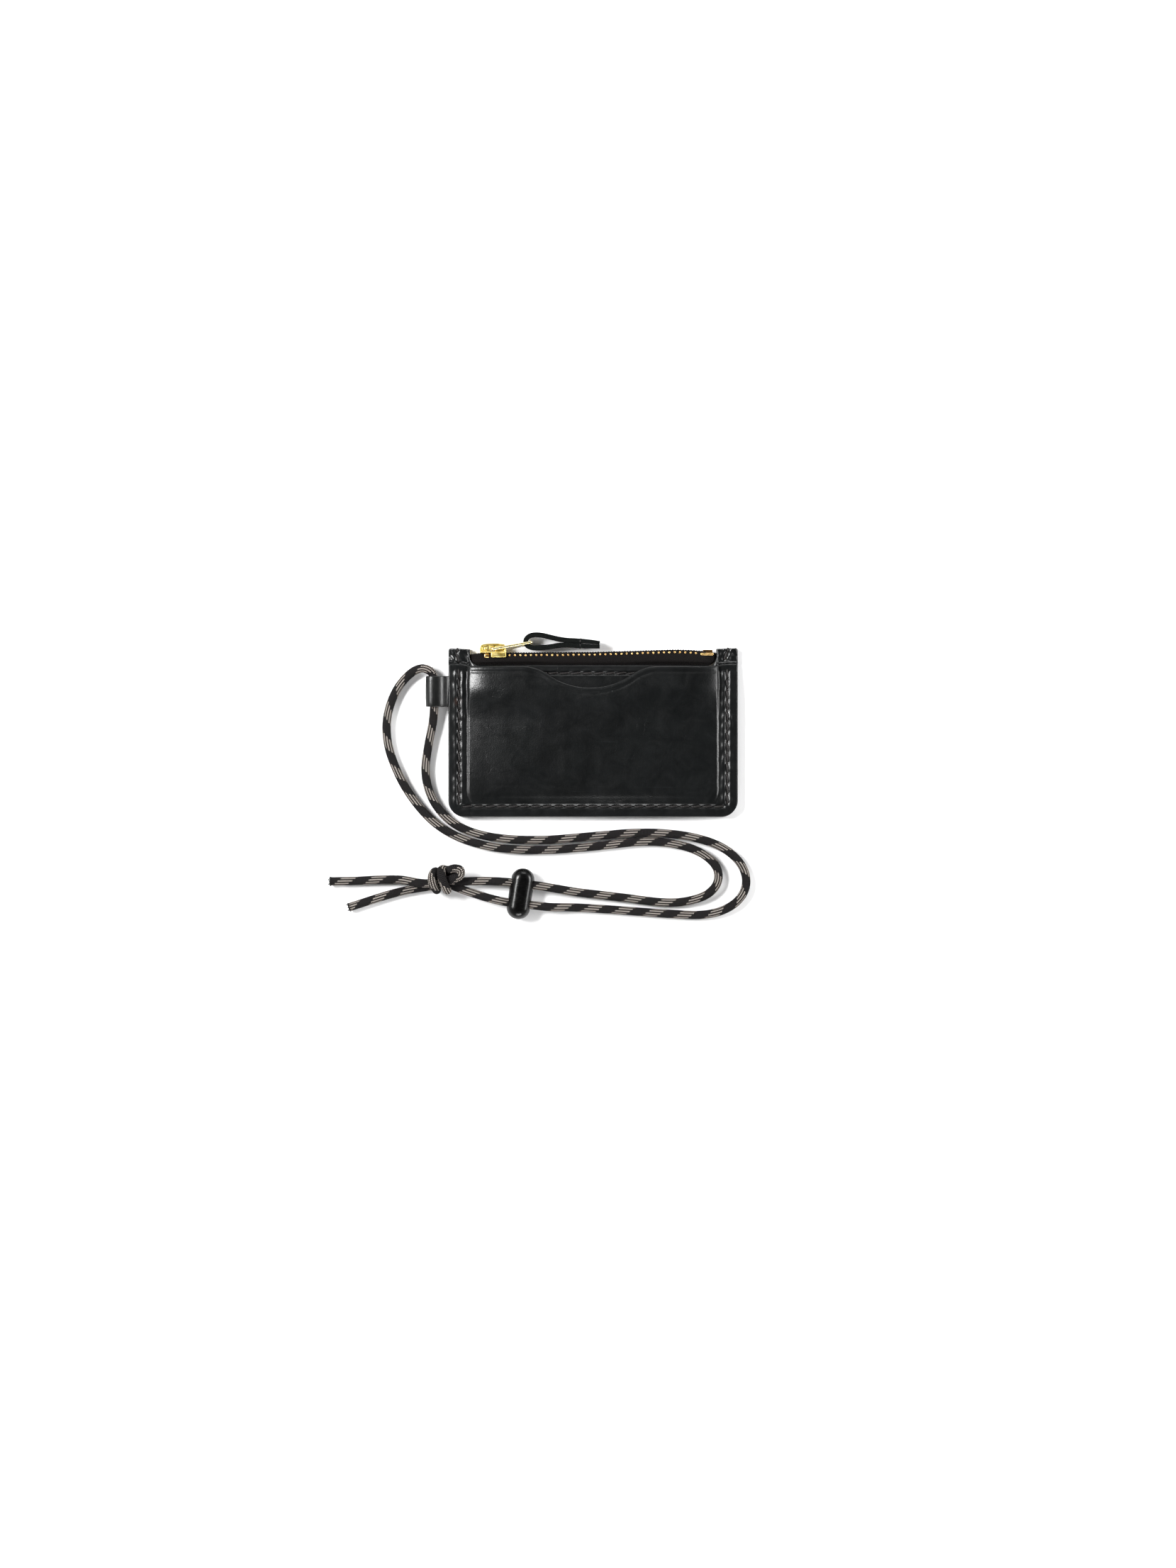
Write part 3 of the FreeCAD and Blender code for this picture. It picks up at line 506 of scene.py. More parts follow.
def rounded_box(parts, low, high, radius, place, segments=3, slot=0):
    """A box with rounded edges whose points are then set by place()."""
    shape = bmesh.new()
    bmesh.ops.create_cube(shape, size=1)
    low, high = np.array(low, float), np.array(high, float)
    for vert in shape.verts:
        vert.co = Vector(low + (np.array(vert.co) + 0.5) * (high - low))
    bmesh.ops.bevel(shape, geom=shape.edges[:] + shape.verts[:], offset=radius,
                    segments=segments, profile=0.5, affect="EDGES", clamp_overlap=True)
    shape.verts.index_update()
    points = [place(*vert.co) for vert in shape.verts]
    faces = [[vert.index for vert in face.verts] for face in shape.faces]
    shape.free()
    parts.add(points, faces, slot)


def strap_section(round_off, bows):
    """(side, inset) in thickness and width of each point round a strap; bows adds points."""
    corner = [(math.cos(a) * round_off, math.sin(a) * round_off)
              for a in np.linspace(0, math.pi / 2, 4)]
    section = []
    for sx, sy in ((1, 1), (-1, 1), (-1, -1), (1, -1)):
        for cx, cy in corner if sx == sy else corner[::-1]:
            section.append((sx, cx - round_off, sy, cy - round_off))
        if sx != sy:
            section += [(sx, 0, bow * sy, 0) for bow in bows]
    return section


# Straps wider than this get points along their wide sides.
BOWED_WIDTH = 3


def strap(parts, route, thickness, width, across, round_off, step, bow=None):
    """A strip along a route; across is its width's direction.

    thickness lists (share of the length, thickness), and bow(share of the width, share of
    the length) shifts its surface.
    """
    line = Line(spline(route, 8), up=across)
    distance = np.linspace(0, line.length, int(line.length / step))
    share = distance / line.length
    centre = line.at(distance, line.points)
    tangent = np.gradient(centre, axis=0)
    tangent /= norm(tangent, axis=1)[:, None]
    across = np.array(across, float)
    out = np.cross(tangent, across)
    half_thickness = np.interp(share, *zip(*thickness)) / 2
    half_width = width / 2
    bows = np.linspace(0.75, -0.75, 7) if width > BOWED_WIDTH else ()
    section = strap_section(round_off, bows)
    points = []
    for n, middle in enumerate(centre):
        for sx, cx, sy, cy in section:
            reach = sx * (half_thickness[n] + cx)
            aside = sy * (half_width + cy)
            if bow is not None:
                reach += bow(aside / half_width, share[n])
            points.append(middle + out[n] * reach + across * aside)
    parts.loft(points, len(centre), len(section))


# -------- neck cord
# Routes from the loop's middle towards the knot and the tail.
# A point without a height lies on the table, at LIE.
CORD = 3.6
LIE = 1.9
KNOT = (-60.9, -60.9, 5.5)
STRAND_A = [
    (-65.65, 17, 3.5), (-65.65, 23.2, 3.5), (-67.6, 25.9, 3.3), (-71.4, 26.9, 3),
    (-76.2, 24.3, 2.4), (-81.2, 18.4), (-84.9, 9.6), (-85.9, -0.6),
    (-83.2, -12), (-76, -26.4), (-63.8, -40), (-45.6, -47.4),
    (-23, -49), (0.5, -47.3), (22, -44.6), (37, -46.4),
    (46.8, -50.6), (52.2, -56.6), (51.6, -63.6), (45.2, -68.7),
    (32, -71), (12, -68.2), (-8, -66, 2), (-19.5, -63.75, 4.2),
    (-39.5, -61.3, 4.2), (-53.5, -61.6, 4.3),
]
STRAND_B = [
    (-65.65, 17, 3.5), (-65.65, 11.6, 3.5), (-66.1, 5, 2.6), (-68.3, -5.6),
    (-69.9, -16.6), (-67, -28), (-58.6, -38.1), (-44.2, -43.5),
    (-23, -44.9), (-1, -43), (21, -41), (40, -42.6),
    (53.6, -47), (61.9, -54.3), (64.2, -63.2), (59.4, -71.2),
    (48.4, -75.8), (32.4, -75.2), (12, -73.6), (-7.5, -72.3, 2),
    (-17, -72.35, 3.9), (-21.5, -71.87, 4.2), (-30, -70.83, 4.2), (-40, -69.6, 4.2),
    (-54.6, -64.9, 3.7),
]
# the turns of the doubled overhand knot, from its middle
KNOT_A = [
    (3, -0.9, -1.4), (-1, -0.6, -2.2), (-4.3, 0.6, -3.2), (-5.8, -1.4, -3.3),
    (-3.2, -4.9, -0.4), (-5, -2.6, 3.9), (-5.9, 1.4, 4.1), (-4.4, 3.9, 0.8),
    (-3.2, 2.6, -2.4), (0.2, 2.2, -3.2), (3.4, 2, -2), (3.6, 0.6, -0.8),
    (0.5, 0, 0), (-2.5, 0.2, 0.2),
]
KNOT_B = [
    (3, -2.6, -1.8), (0.2, -1, -2.6), (-1.2, 0.6, -3.5), (-0.8, -2.4, -3.6),
    (1, -4.9, -0.6), (-0.2, -2.8, 4.3), (-1.9, 2, 4.8), (-1.8, 4.6, 1.4),
    (-0.1, 4.2, -1), (1.3, 3.9, 1.2), (3.4, 4.9, 2.6), (6.5, 4.3, 2.6),
    (6, 1.2, 2.4), (2.6, 0.6, 2.6), (-0.5, -1.4, 0.4), (-4, -2, -1.2),
]
TAIL_A = [
    (-66.5, -62.5, 6.4), (-72, -62.3, 5.9), (-79, -60.8, 2.4), (-88, -60.8),
    (-98.5, -61.5), (-109, -61.6, 2.3),
]
TAIL_B = [
    (-66.5, -63.6, 2.5), (-74, -64.6, 1.95), (-83, -66.6), (-92, -69.4),
    (-101.2, -72.4, 2.2),
]
# The braid: rows of picks round the cord, a pick's length and slant, and its crest's shape.
BRAID_ROWS = 10
PICK = 0.58
PICK_SLANT = 0.55
PICK_SHAPE = np.array([0, 0.85, 1, 0.85])
VALLEY = 0.86
CREST = 0.12
# The tracer yarn: how far along the cord one turn of it leads, and the share it fills.
TRACER_LEAD = 12.8
TRACER_SHARE = 0.46
# Material slots: painted shade in the gaps, the yarn's colour on the crests, and the tracer
# yarn.
SHADED_GAP_SLOT, TRACER_SLOT, CREST_SLOT = range(3)


def braided_tube(name, line, nodes, phase):
    """A solid braid: rows of picks in pairs, one of each with a lighter tracer yarn, and painted
    shade in the gaps between the picks.
    """
    sides = BRAID_ROWS * 4
    step = PICK / 4
    rows = int(line.length / step)
    ring, column = np.meshgrid(np.arange(rows), np.arange(sides), indexing="ij")
    vee = np.abs((column % 4) - 2) / 2
    distance = np.clip(ring * step + (vee - 0.5) * PICK * PICK_SLANT, 0, line.length)
    gutter = np.where(column % 2 == 0, 1, 0)
    radius = CORD / 2 * (VALLEY + CREST * PICK_SHAPE[ring % 4]) * (1.025 - 0.05 * gutter)
    angle = (column * 2 + 0.35 * (column % 2)) * math.pi / sides
    points = line.tube(distance, radius, angle)
    faces = grid_faces(rows, sides, True) + caps(rows, sides)
    face_ring = np.repeat(np.arange(rows - 1), sides)
    face_column = np.tile(np.arange(sides), rows - 1)
    row = face_column // 4
    spot = face_ring * step + row * TRACER_LEAD / BRAID_ROWS + phase
    in_band = (spot % TRACER_LEAD) < TRACER_LEAD * TRACER_SHARE
    on_crest = (face_ring % 4 == 1) | (face_ring % 4 == 2)
    light = in_band & (face_column % 4 < 2) & on_crest
    # faces off the crests, and the end caps below, get the painted shade
    slots = np.where(light, TRACER_SLOT, np.where(on_crest, CREST_SLOT, SHADED_GAP_SLOT))
    slots = np.concatenate([slots, [SHADED_GAP_SLOT, SHADED_GAP_SLOT]])
    return piece(name, points, faces, (CORD_GAP_SHADE, CORD_LIGHT, CORD_CREST), "pouch",
                 nodes, slots)


def melted_end(name, line, spread):
    """A dark rumpled button that swells out over the cord by spread, with loose hairs."""
    parts = Parts()
    rows, sides = 9, 28
    tip = line.points[-1]
    direction, side, lift = line.tangent[-1], line.side[-1], line.lift[-1]
    points = []
    for share in np.arange(rows) / (rows - 1):
        middle = tip + direction * (-0.55 + 0.75 * share)
        fullness = 0.98 + spread * math.sin(math.pi * min(1, share * 1.15)) - 0.28 * share ** 6
        for angle in 2 * math.pi * np.arange(sides) / sides:
            rumple = 1 + 0.05 * math.sin(5 * angle + 3 * share) + 0.04 * math.sin(9 * angle)
            size = CORD / 2 * fullness * rumple
            points.append(middle + (side * math.cos(angle) + lift * math.sin(angle)) * size)
    parts.loft(points, rows, sides)
    for n in range(5):
        angle = 1.1 * n + 0.4
        root = tip + (side * math.cos(angle) + lift * math.sin(angle)) * CORD * 0.36
        reach = direction * random.uniform(0.5, 1)
        bend = side * random.uniform(-0.5, 0.5) + lift * random.uniform(-0.1, 0.4)
        rope(parts, [root, root + reach * 0.6, root + reach + bend], 0.16, 2, 1, 6, 0.2)
    return parts.finish(name, (CORD_END,), "pouch", "braided_cord")


def make_cord(name, route, turns, tail, nodes, phase, spread):
    """One strand with its end; phase moves its tracers along."""
    middle = [tuple(np.add(KNOT, turn)) for turn in turns]
    route = [(*point, LIE)[:3] for point in route + middle + tail]
    points = spline(route, 36, name)
    line = Line(points)
    tube = braided_tube(name, line, nodes, phase)
    end = melted_end(name + "_end", line, spread)
    return tube


make_cord("strand_a", STRAND_A, KNOT_A, TAIL_A, ("neck_cord_a", "cord_tail_a", "cord_knot"),
          phase=2, spread=0.16)
make_cord("strand_b", STRAND_B, KNOT_B, TAIL_B, ("neck_cord_b", "cord_tail_b"),
          phase=8, spread=0.08)


# -------- pouch outline and relief
HALF = 59.9
BOTTOM = -35
CORNER = 7
MOUTH = 28
WINDOW = 51
WINDOW_CORNER = 3.6
# The pocket's top, the dip's arc (centre height, radius), its half width and the shoulder
# that rounds off each side of it (centre, radius).
POCKET_TOP = 27.7
FLANGE_RISE = 0.75
DIP_X = -1.2
DIP = (48.8, 30.2)
DIP_END = 17.34
SHOULDER = (28.82, 7.7, 20)
# The tabs' tops at the window, how they slope outwards, and their worn corners.
TAB_TOP = {-1: (34.55, -0.035), 1: (34.65, 0.04)}
WORN = 1
# The filled middle stands up inside this border.
PLATEAU = 51.7
FLOOR_SEAM = -30
SIDE_REACH = 22
LOW_REACH = 19
LEATHER_THICK = 1.2
BACK_THICK = 1.5


def bottom_of(x):
    over = np.clip(np.abs(x) - (HALF - CORNER), 0, CORNER)
    return BOTTOM + CORNER - np.sqrt(CORNER ** 2 - over ** 2)


def pocket_top(x):
    """The pocket's top edge, with its thumb dip."""
    u = np.abs(x - DIP_X)
    dip = DIP[0] - np.sqrt(np.maximum(DIP[1] ** 2 - u ** 2, 0))
    shoulder = SHOULDER[1] + np.sqrt(np.maximum(SHOULDER[2] ** 2 - (u - SHOULDER[0]) ** 2, 0))
    ends = POCKET_TOP + FLANGE_RISE * smooth((np.abs(x) - 50) / 5)
    return np.where(u < DIP_END, dip, np.where(u < SHOULDER[0], shoulder, ends))


def tab_top(x):
    """The tabs' own tops lean a little and have worn outer corners."""
    worn = np.clip(np.abs(x) - (HALF - WORN), 0, WORN)
    left, right = (top + slope * (x - side * WINDOW) for side, (top, slope) in TAB_TOP.items())
    return np.where(x < 0, left, right) - WORN + np.sqrt(WORN ** 2 - worn ** 2)


def panel_top(x):
    """The top edge of the front and back panel: the zip window between two tabs."""
    u = np.abs(x)
    over = np.clip(u - (WINDOW - WINDOW_CORNER), 0, WINDOW_CORNER)
    window = MOUTH + WINDOW_CORNER - np.sqrt(WINDOW_CORNER ** 2 - over ** 2)
    return np.where(u > WINDOW + 0.01, tab_top(x), window)


def body_distance(x, y):
    """Distance inwards from the pouch's sides, bottom and tab tops."""
    side = HALF - np.abs(x)
    floor = y - BOTTOM
    corner = CORNER - np.hypot(CORNER - side, CORNER - floor)
    low = np.where((side < CORNER) & (floor < CORNER), corner, np.minimum(side, floor))
    return np.minimum(low, tab_top(x) - y)


def below_pocket_top(x, y, span):
    """Distance down from the pocket's top edge, whose slope is read over span."""
    slope = (pocket_top(x + span / 2) - pocket_top(x - span / 2)) / span
    return (pocket_top(x) - y) / np.sqrt(1 + slope ** 2)


def pocket_distance(x, y):
    """Distance inwards from the card pocket's edge."""
    return np.minimum(body_distance(x, y), below_pocket_top(x, y, 0.1))


def window_distance(x, y):
    """Distance inwards from the edge of the front and back panel."""
    out_x = np.abs(x) - (WINDOW - WINDOW_CORNER)
    out_y = (MOUTH + WINDOW_CORNER) - y
    gap = np.where((out_x > 0) & (out_y > 0), np.hypot(out_x, out_y),
                   np.maximum(out_x, out_y)) - WINDOW_CORNER
    return np.minimum(body_distance(x, y), gap)


def beside_zip(y):
    """0 in the pouch's lower half, 1 beside the zip."""
    return smooth((y - 5) / 14)


def swell(x, y, top_reach):
    """How far the filled middle stands up: 0 at its border, rising over top_reach by the zip."""
    side = np.clip(PLATEAU - np.abs(x), 0, None)
    low = np.clip(y - FLOOR_SEAM, 0, None)
    reach = SIDE_REACH + (top_reach - SIDE_REACH) * beside_zip(y)
    return (1 - np.exp(-side / reach)) * (1 - np.exp(-low / LOW_REACH))


def dome(y):
    """The filling sinks towards the zip."""
    return 1.8 * np.clip((y - 6) / 22, 0, 1) ** 3


# -------- stitches
SEAM_X = 55.5
SEAM_Y = -30.6
ZIP_SEAM_Y = 24.5


def stitch_run(start, end, pitch, gap):
    """(first hole, last hole) of each stitch from start to end."""
    start, end = np.array(start, float), np.array(end, float)
    count = max(1, round(norm(end - start) / pitch))
    step = (end - start) / count
    trim = step / norm(step) * gap / 2
    return [(start + step * n + trim, start + step * (n + 1) - trim) for n in range(count)]


LEFT_SEAM = stitch_run((-SEAM_X, 26.6), (-SEAM_X, -29.6), 4.35, 1)
FLOOR_ROW = stitch_run((-54.4, SEAM_Y), (54.4, SEAM_Y), 4.72, 1.5)
RIGHT_SEAM = stitch_run((SEAM_X, -29.6), (SEAM_X, 26.6), 4.35, 1)
ZIP_SEAM = stitch_run((-47, ZIP_SEAM_Y), (47, ZIP_SEAM_Y), 4.75, 1.3)
SEAM = LEFT_SEAM + FLOOR_ROW + RIGHT_SEAM
# Two hand stitches on each tab: the first goes over the tab's top.
TAB_SEAM = [(np.array(a), np.array(b)) for a, b in (
    ((-56.15, 36.2), (-56.2, 34.2)), ((-56.6, 33.1), (-55.7, 29.5)),
    ((55.9, 36.4), (55.8, 34.2)), ((55.5, 33.4), (54.3, 30.4)))]
# How uneven the leather is beside each stitch: two sizes and two shifts.
BUMPS = RNG.uniform(0.15, 1, (120, 4))
TROUGH_DEPTH = 0.34
HOLE_DEPTH = 0.36
LIP_AWAY = 1.05


def puckers(x, y, stitches, lips, bulges, offset=0):
    """Leather pulled down along the stitches, with lips and bulges beside them."""
    height = np.zeros_like(x)
    for n, (first, last) in enumerate(stitches):
        middle = (first + last) / 2
        half = norm(last - first) / 2
        u = (last - first) / (2 * half)
        v = np.array([-u[1], u[0]])
        a = (x - middle[0]) * u[0] + (y - middle[1]) * u[1]
        b = (x - middle[0]) * v[0] + (y - middle[1]) * v[1]
        near = (np.abs(a) < half + 3) & (np.abs(b) < 4.5)
        if not near.any():
            continue
        a, b = a[near], b[near]
        wild = BUMPS[(offset + n) % len(BUMPS)]
        ends = np.exp(-(a / (half + 0.6)) ** 8)
        found = -TROUGH_DEPTH * bell(b, 0.66) * ends
        for hole in (half + 0.3, -half - 0.3):
            found -= HOLE_DEPTH * np.exp(-((a - hole) ** 2 + b ** 2) / 0.3)
        for side, size, shift in ((1, wild[0], wild[2]), (-1, wild[1], wild[3])):
            lip = bell(b - side * LIP_AWAY, 0.4)
            found += lips * (0.1 + 0.12 * size) * lip * ends
            away = 1.3 + 0.5 * shift
            width = 0.4 + 0.32 * shift
            lump = bell(b - side * away - 0.25 * a * (shift - 0.5), width)
            found += bulges * 0.34 * size * lump * bell(a - 2.2 * (shift - 0.5), 1.5)
        height[near] += found
    return height


def seam_relief(x, y):
    """The puckers of the left, bottom and right seams, kept off the filled middle."""
    sides = puckers(x, y, LEFT_SEAM, 0.45, 1.3) + puckers(x, y, RIGHT_SEAM, 0.45, 1.3, 50)
    flange = smooth(np.abs(x) - PLATEAU - 0.1)
    return sides * flange + puckers(x, y, FLOOR_ROW, 0.5, 0.3, 20)


# A rounded edge gets points at these distances from it.
EDGE_STEPS = np.array([0, 0.03, 0.09, 0.18, 0.3, 0.45, 0.65, 0.9, 1.25])


def columns_of(low, high, gap):
    """Places from low to high, close together beside both ends."""
    first, last = low + EDGE_STEPS, high - EDGE_STEPS[::-1]
    count = int((high - low - 2 * EDGE_STEPS[-1]) / gap)
    return np.concatenate([first, np.linspace(first[-1], last[0], count)[1:-1], last])


def leather_panel(name, node, xs, height, top, upper, lower, distance, gap, round_off):
    """A sheet between two surfaces, rounded all along its edge.

    height is its rough height, top its upper outline; distance measures inwards.
    """
    x, share = np.meshgrid(xs, columns_of(0, height, gap) / height)
    y = bottom_of(xs) + (top(xs) - bottom_of(xs)) * share
    inside = np.clip(distance(x, y), 0, round_off)
    fall = round_off - np.sqrt(round_off ** 2 - (round_off - inside) ** 2)
    rise = np.minimum(0.45 * fall, 0.4)
    rows, columns = x.shape
    over = np.stack([x, y, upper(x, y) - fall], -1).reshape(-1, 3)
    under = np.stack([x, y, lower(x, y) + rise], -1).reshape(-1, 3)
    count = rows * columns
    faces = grid_faces(rows, columns)
    faces += [face[::-1] for face in grid_faces(rows, columns, base=count)]
    slots = [0] * len(faces)
    index = np.arange(count).reshape(rows, columns)
    rim = [*index[0], *index[1:, -1], *index[-1, -2::-1], *index[-2:0:-1, 0]]
    for a, b in zip(rim, rim[1:] + rim[:1]):
        faces.append((b, a, count + a, count + b))
    slots += [1] * len(rim)
    return piece(name, np.concatenate([over, under]), faces, (LEATHER, EDGE), "pouch",
                 (node,), slots)


def wander(x, y, size, seed):
    """Slow unevenness of hand-finished leather."""
    return size * (np.sin(0.19 * x + 0.07 * y + seed) * np.sin(0.23 * y - 0.05 * x + 2 * seed)
                   + 0.6 * np.sin(0.43 * x + 0.31 * y + 3 * seed)
                   * np.sin(0.37 * y - 0.29 * x + seed))


# Above the back panel's outer face: the flange, the step up from it and the filled middle.
POCKET_FLANGE = 3.9
POCKET_STEP = 0.55
POCKET_SWELL = 4.5
CORNER_WALL = 1.3
POCKET_REACH = 6
FRONT_FLANGE = 2.7
FRONT_SWELL = 4.65
FRONT_REACH = 3
# Two old fold lines across the pocket.
FOLD_LINES = (-21.9, -27.2)


def pocket_upper(x, y):
    """The card pocket's outer face."""
    u = np.abs(x)
    border = PLATEAU - 1.5 * smooth((-22 - y) / 8) ** 2 + 0.04 * np.sin(0.7 * y)
    step = smooth((border + 0.35 - u) / 0.7) * smooth((y - FLOOR_SEAM) / 5)
    wall = CORNER_WALL * beside_zip(y)
    filled = swell(x, y, POCKET_REACH)
    height = POCKET_FLANGE + (POCKET_STEP + wall) * step + (POCKET_SWELL - wall) * filled
    height -= dome(y) + 0.1 * bell(u - border - 0.45, 0.3)
    top_only = smooth((y - 8) / 4) * smooth((border - u) / 1.2)
    to_edge = below_pocket_top(x, y, 0.6)
    height -= 0.26 * top_only * bell(to_edge - 2.5, 0.36)
    height += 0.16 * top_only * bell(to_edge - 1.2, 0.8)
    for line in FOLD_LINES:
        height -= 0.05 * bell(y - line, 0.4) * smooth((47 - u) / 10)
    return height + seam_relief(x, y) + wander(x, y, 0.05, 1.3) * (0.4 + filled)


def front_upper(x, y):
    """The front panel's outer face, under the pocket and on the tabs."""
    u = np.abs(x)
    height = FRONT_FLANGE + FRONT_SWELL * swell(x, y, FRONT_REACH)
    height -= dome(y) * smooth((PLATEAU - u) / 6)
    beside_tab = smooth((u - 44) / 4) * smooth((PLATEAU - u) / 3)
    height -= 0.5 * smooth((y - 27) / 4) * beside_tab
    height += puckers(x, y, ZIP_SEAM, 0.9, 0.4, 70) + puckers(x, y, TAB_SEAM, 0.9, 1.9, 100)
    on_tab = smooth((u - WINDOW + 0.5) / 1.5)
    groove = bell(y - pocket_top(x) - 0.3, 0.42)
    height += 0.24 * smooth((y - 29) / 2) * np.sin(1.5 * x + 0.8 * y) * np.sin(1.2 * y + 0.5 * x)
    return np.maximum(height - 0.85 * groove * on_tab, 1.62)


def front_lower(x, y):
    return np.maximum(front_upper(x, y) - LEATHER_THICK, BACK_THICK)


def back_lower(x, y):
    """The outer face of the back: flat on the table, dented only by its stitches."""
    return -np.minimum(seam_relief(x, y) + puckers(x, y, ZIP_SEAM, 0, 0), 0)


def make_leather():
    xs = columns_of(-HALF, HALF, 0.48)
    leather_panel("pocket_front", "card_pocket", xs, 63, pocket_top, pocket_upper,
                  lambda x, y: pocket_upper(x, y) - LEATHER_THICK, pocket_distance, 0.48, 0.5)
    tab = columns_of(-HALF, -WINDOW - 0.02, 0.5)
    middle = columns_of(-WINDOW, WINDOW, 0.62)
    xs = np.concatenate([tab, middle, -tab[::-1]])
    leather_panel("front_leather", "front_panel", xs, 65, panel_top, front_upper,
                  front_lower, window_distance, 0.36, 0.6)
    leather_panel("back_leather", "back_panel", xs, 65, panel_top,
                  lambda x, y: np.full_like(x, BACK_THICK), back_lower, window_distance,
                  0.62, 0.6)


make_leather()


# -------- thread
THREAD_SIZE = 0.96
BACK_THREAD = 0.92


def sew(parts, stitches, surface, sink):
    """A twisted bar on the face that dives into a hole at each end."""
    for first, last in stitches:
        u = (last - first) / norm(last - first)
        middle = (first + last) / 2
        level = surface(*middle[:, None, None]).item() + sink
        lean = np.array([-u[1], u[0]]) * random.uniform(0.1, 0.25)
        route = [(*(first - u * 0.25), level - 1), (*(first - lean), level - 0.05),
                 (*(middle - u * 0.6 - lean / 2), level + 0.14),
                 (*(middle + u * 0.6 + lean / 2), level + 0.14),
                 (*(last + lean), level - 0.05), (*(last + u * 0.25), level - 1)]
        rope(parts, route, THREAD_SIZE / 2)


def sew_back(parts, stitches):
    """The same stitches on the back, sunk into the leather."""
    for first, last in stitches:
        u = (last - first) / norm(last - first)
        route = [(*(first - u * 0.2), 0.9), (*first, 0.42), (*(first + u * 0.6), 0.4),
                 (*(last - u * 0.6), 0.4), (*last, 0.42), (*(last + u * 0.2), 0.9)]
        rope(parts, route, THREAD_SIZE / 2 * BACK_THREAD)


def make_threads():
    def finish(name, node):
        parts.finish(name, (THREAD,), "pouch", "waxed_thread", node)

    parts = Parts()
    sew(parts, SEAM, pocket_upper, 0.12)
    sew_back(parts, SEAM)
    finish("seam_stitches", "seam_thread")
    parts = Parts()
    sew(parts, ZIP_SEAM, front_upper, 0.12)
    finish("zip_stitches_front", "zip_thread_front")
    parts = Parts()
    sew_back(parts, ZIP_SEAM)
    finish("zip_stitches_back", "zip_thread_back")
    for side, node, (over, below) in (("left", "tab_thread_left", TAB_SEAM[:2]),
                                      ("right", "tab_thread_right", TAB_SEAM[2:])):
        parts = Parts()
        sew(parts, [below], front_upper, 0)
        sew_back(parts, [below])
        x, top = over[1][0], float(tab_top(over[1][:1])[0])
        rope(parts, [(x, top - 1.3, 1.9), (x, top - 1, 2.65), (x + 0.05, top - 0.5, 2.5),
                     (x + 0.1, top - 0.05, 1.6), (x, top, 0.5), (x, top - 0.6, 0.4),
                     (x, top - 1.2, 1.2)], THREAD_SIZE / 2)
        finish(f"tab_stitches_{side}", node)


make_threads()


# -------- zip
# The closed slider's middle, the slope of its travel and the height of the zip's middle plane.
ZIP_START = np.array([-41.3, 32.0])
ZIP_RISE = math.radians(0.85)
ZIP_LEVEL = 3.85
END_LEVEL = 2.1
TOOTH_COUNT = 40
FIRST_TOOTH = -43.3
TOOTH_PITCH = 2.2
TAPE_END = 51.4
TAPE_THICK = 0.35
# (place, height) of the chain where its run changes.
BOW = [(-52, 31.75), (-35.1, 31.85), (-17.8, 32.02), (-0.6, 32.11), (16.5, 32.6),
       (29.4, 33.02), (35, 33.15), (42.4, 32.85), (45, 32.5), (52, 32.2)]
# (up from the chain, out from the middle plane) of a tape's outer face, ending in its cord.
TAPE_SECTION = [(-11.5, 1.95), (-8, 2), (-6, 2.05), (-5, 2.08), (-4.4, 2.1),
                (-3.9, 2.1), (-3.4, 2.11), (-2.9, 2.12), (-2.4, 2.11), (-1.8, 2.1),
                (-1.3, 2.06), (-0.8, 2.02), (-0.3, 1.98), (0.1, 1.9), (0.4, 1.72),
                (0.58, 1.4), (0.6, 1)]


def chain_height(x):
    """The chain's own height across the pouch: it bows up a little at the right."""
    places = np.linspace(-52, 52, 209)
    heights = np.pad(np.interp(places, *zip(*BOW)), 6, "edge")
    return np.interp(x, places, np.convolve(heights, np.ones(13) / 13, "valid"))


def tuck(x):
    """1 along the zip, falling to 0 where its ends go in between the tabs."""
    return smooth((51.5 - np.abs(x)) / 5.5)


def chain_level(x):
    """The height of the zip's middle plane, lower at its ends."""
    return END_LEVEL + (ZIP_LEVEL - END_LEVEL) * tuck(x)


def tooth_bulge(x):
    """The tape's corded edge swells out between two teeth of its own row."""
    return 0.5 - 0.5 * np.cos(2 * math.pi * (x - FIRST_TOOTH - 0.15) / TOOTH_PITCH)


def make_tape(name, node, side, shift, dive):
    """A tape with its corded edge; the front one dives in under the leather's mouth."""
    skins = [(dy, dz, 0) for dy, dz in TAPE_SECTION]
    skins += [(dy, dz, -TAPE_THICK) for dy, dz in TAPE_SECTION[::-1]]
    xs = np.linspace(-TAPE_END, TAPE_END, 640)
    points = []
    for x in xs:
        lift, level, flat = chain_height(x), chain_level(x), tuck(x)
        spread = 0.12 + 0.88 * flat
        bulge = tooth_bulge(x - shift * TOOTH_PITCH)
        for dy, dz, skin in skins:
            edge = smooth(dy + 0.5)
            y = lift + dy + (0.18 + 0.5 * bulge) * edge * flat
            y -= 0.16 if skin and dy > 0.3 else 0
            up = dz * spread + skin + 0.18 * bulge * edge * smooth((0.62 - dy) / 0.3)
            up -= dive * flat * smooth((MOUTH + 1.6 - y) / 1.7)
            points.append((x + 0.25 * bulge * edge, y, level + side * up))
    parts = Parts()
    parts.loft(points, len(xs), len(skins))
    parts.finish(name, (TAPE,), "pouch", "zip_tape", node, mirrored=side > 0)


def zip_place(along, out, up):
    """World point: along the closed slider's axis, out of the front, up from the chain."""
    x = ZIP_START[0] + along * math.cos(ZIP_RISE) - up * math.sin(ZIP_RISE)
    y = ZIP_START[1] + along * math.sin(ZIP_RISE) + up * math.cos(ZIP_RISE)
    return (x, y, ZIP_LEVEL + out)


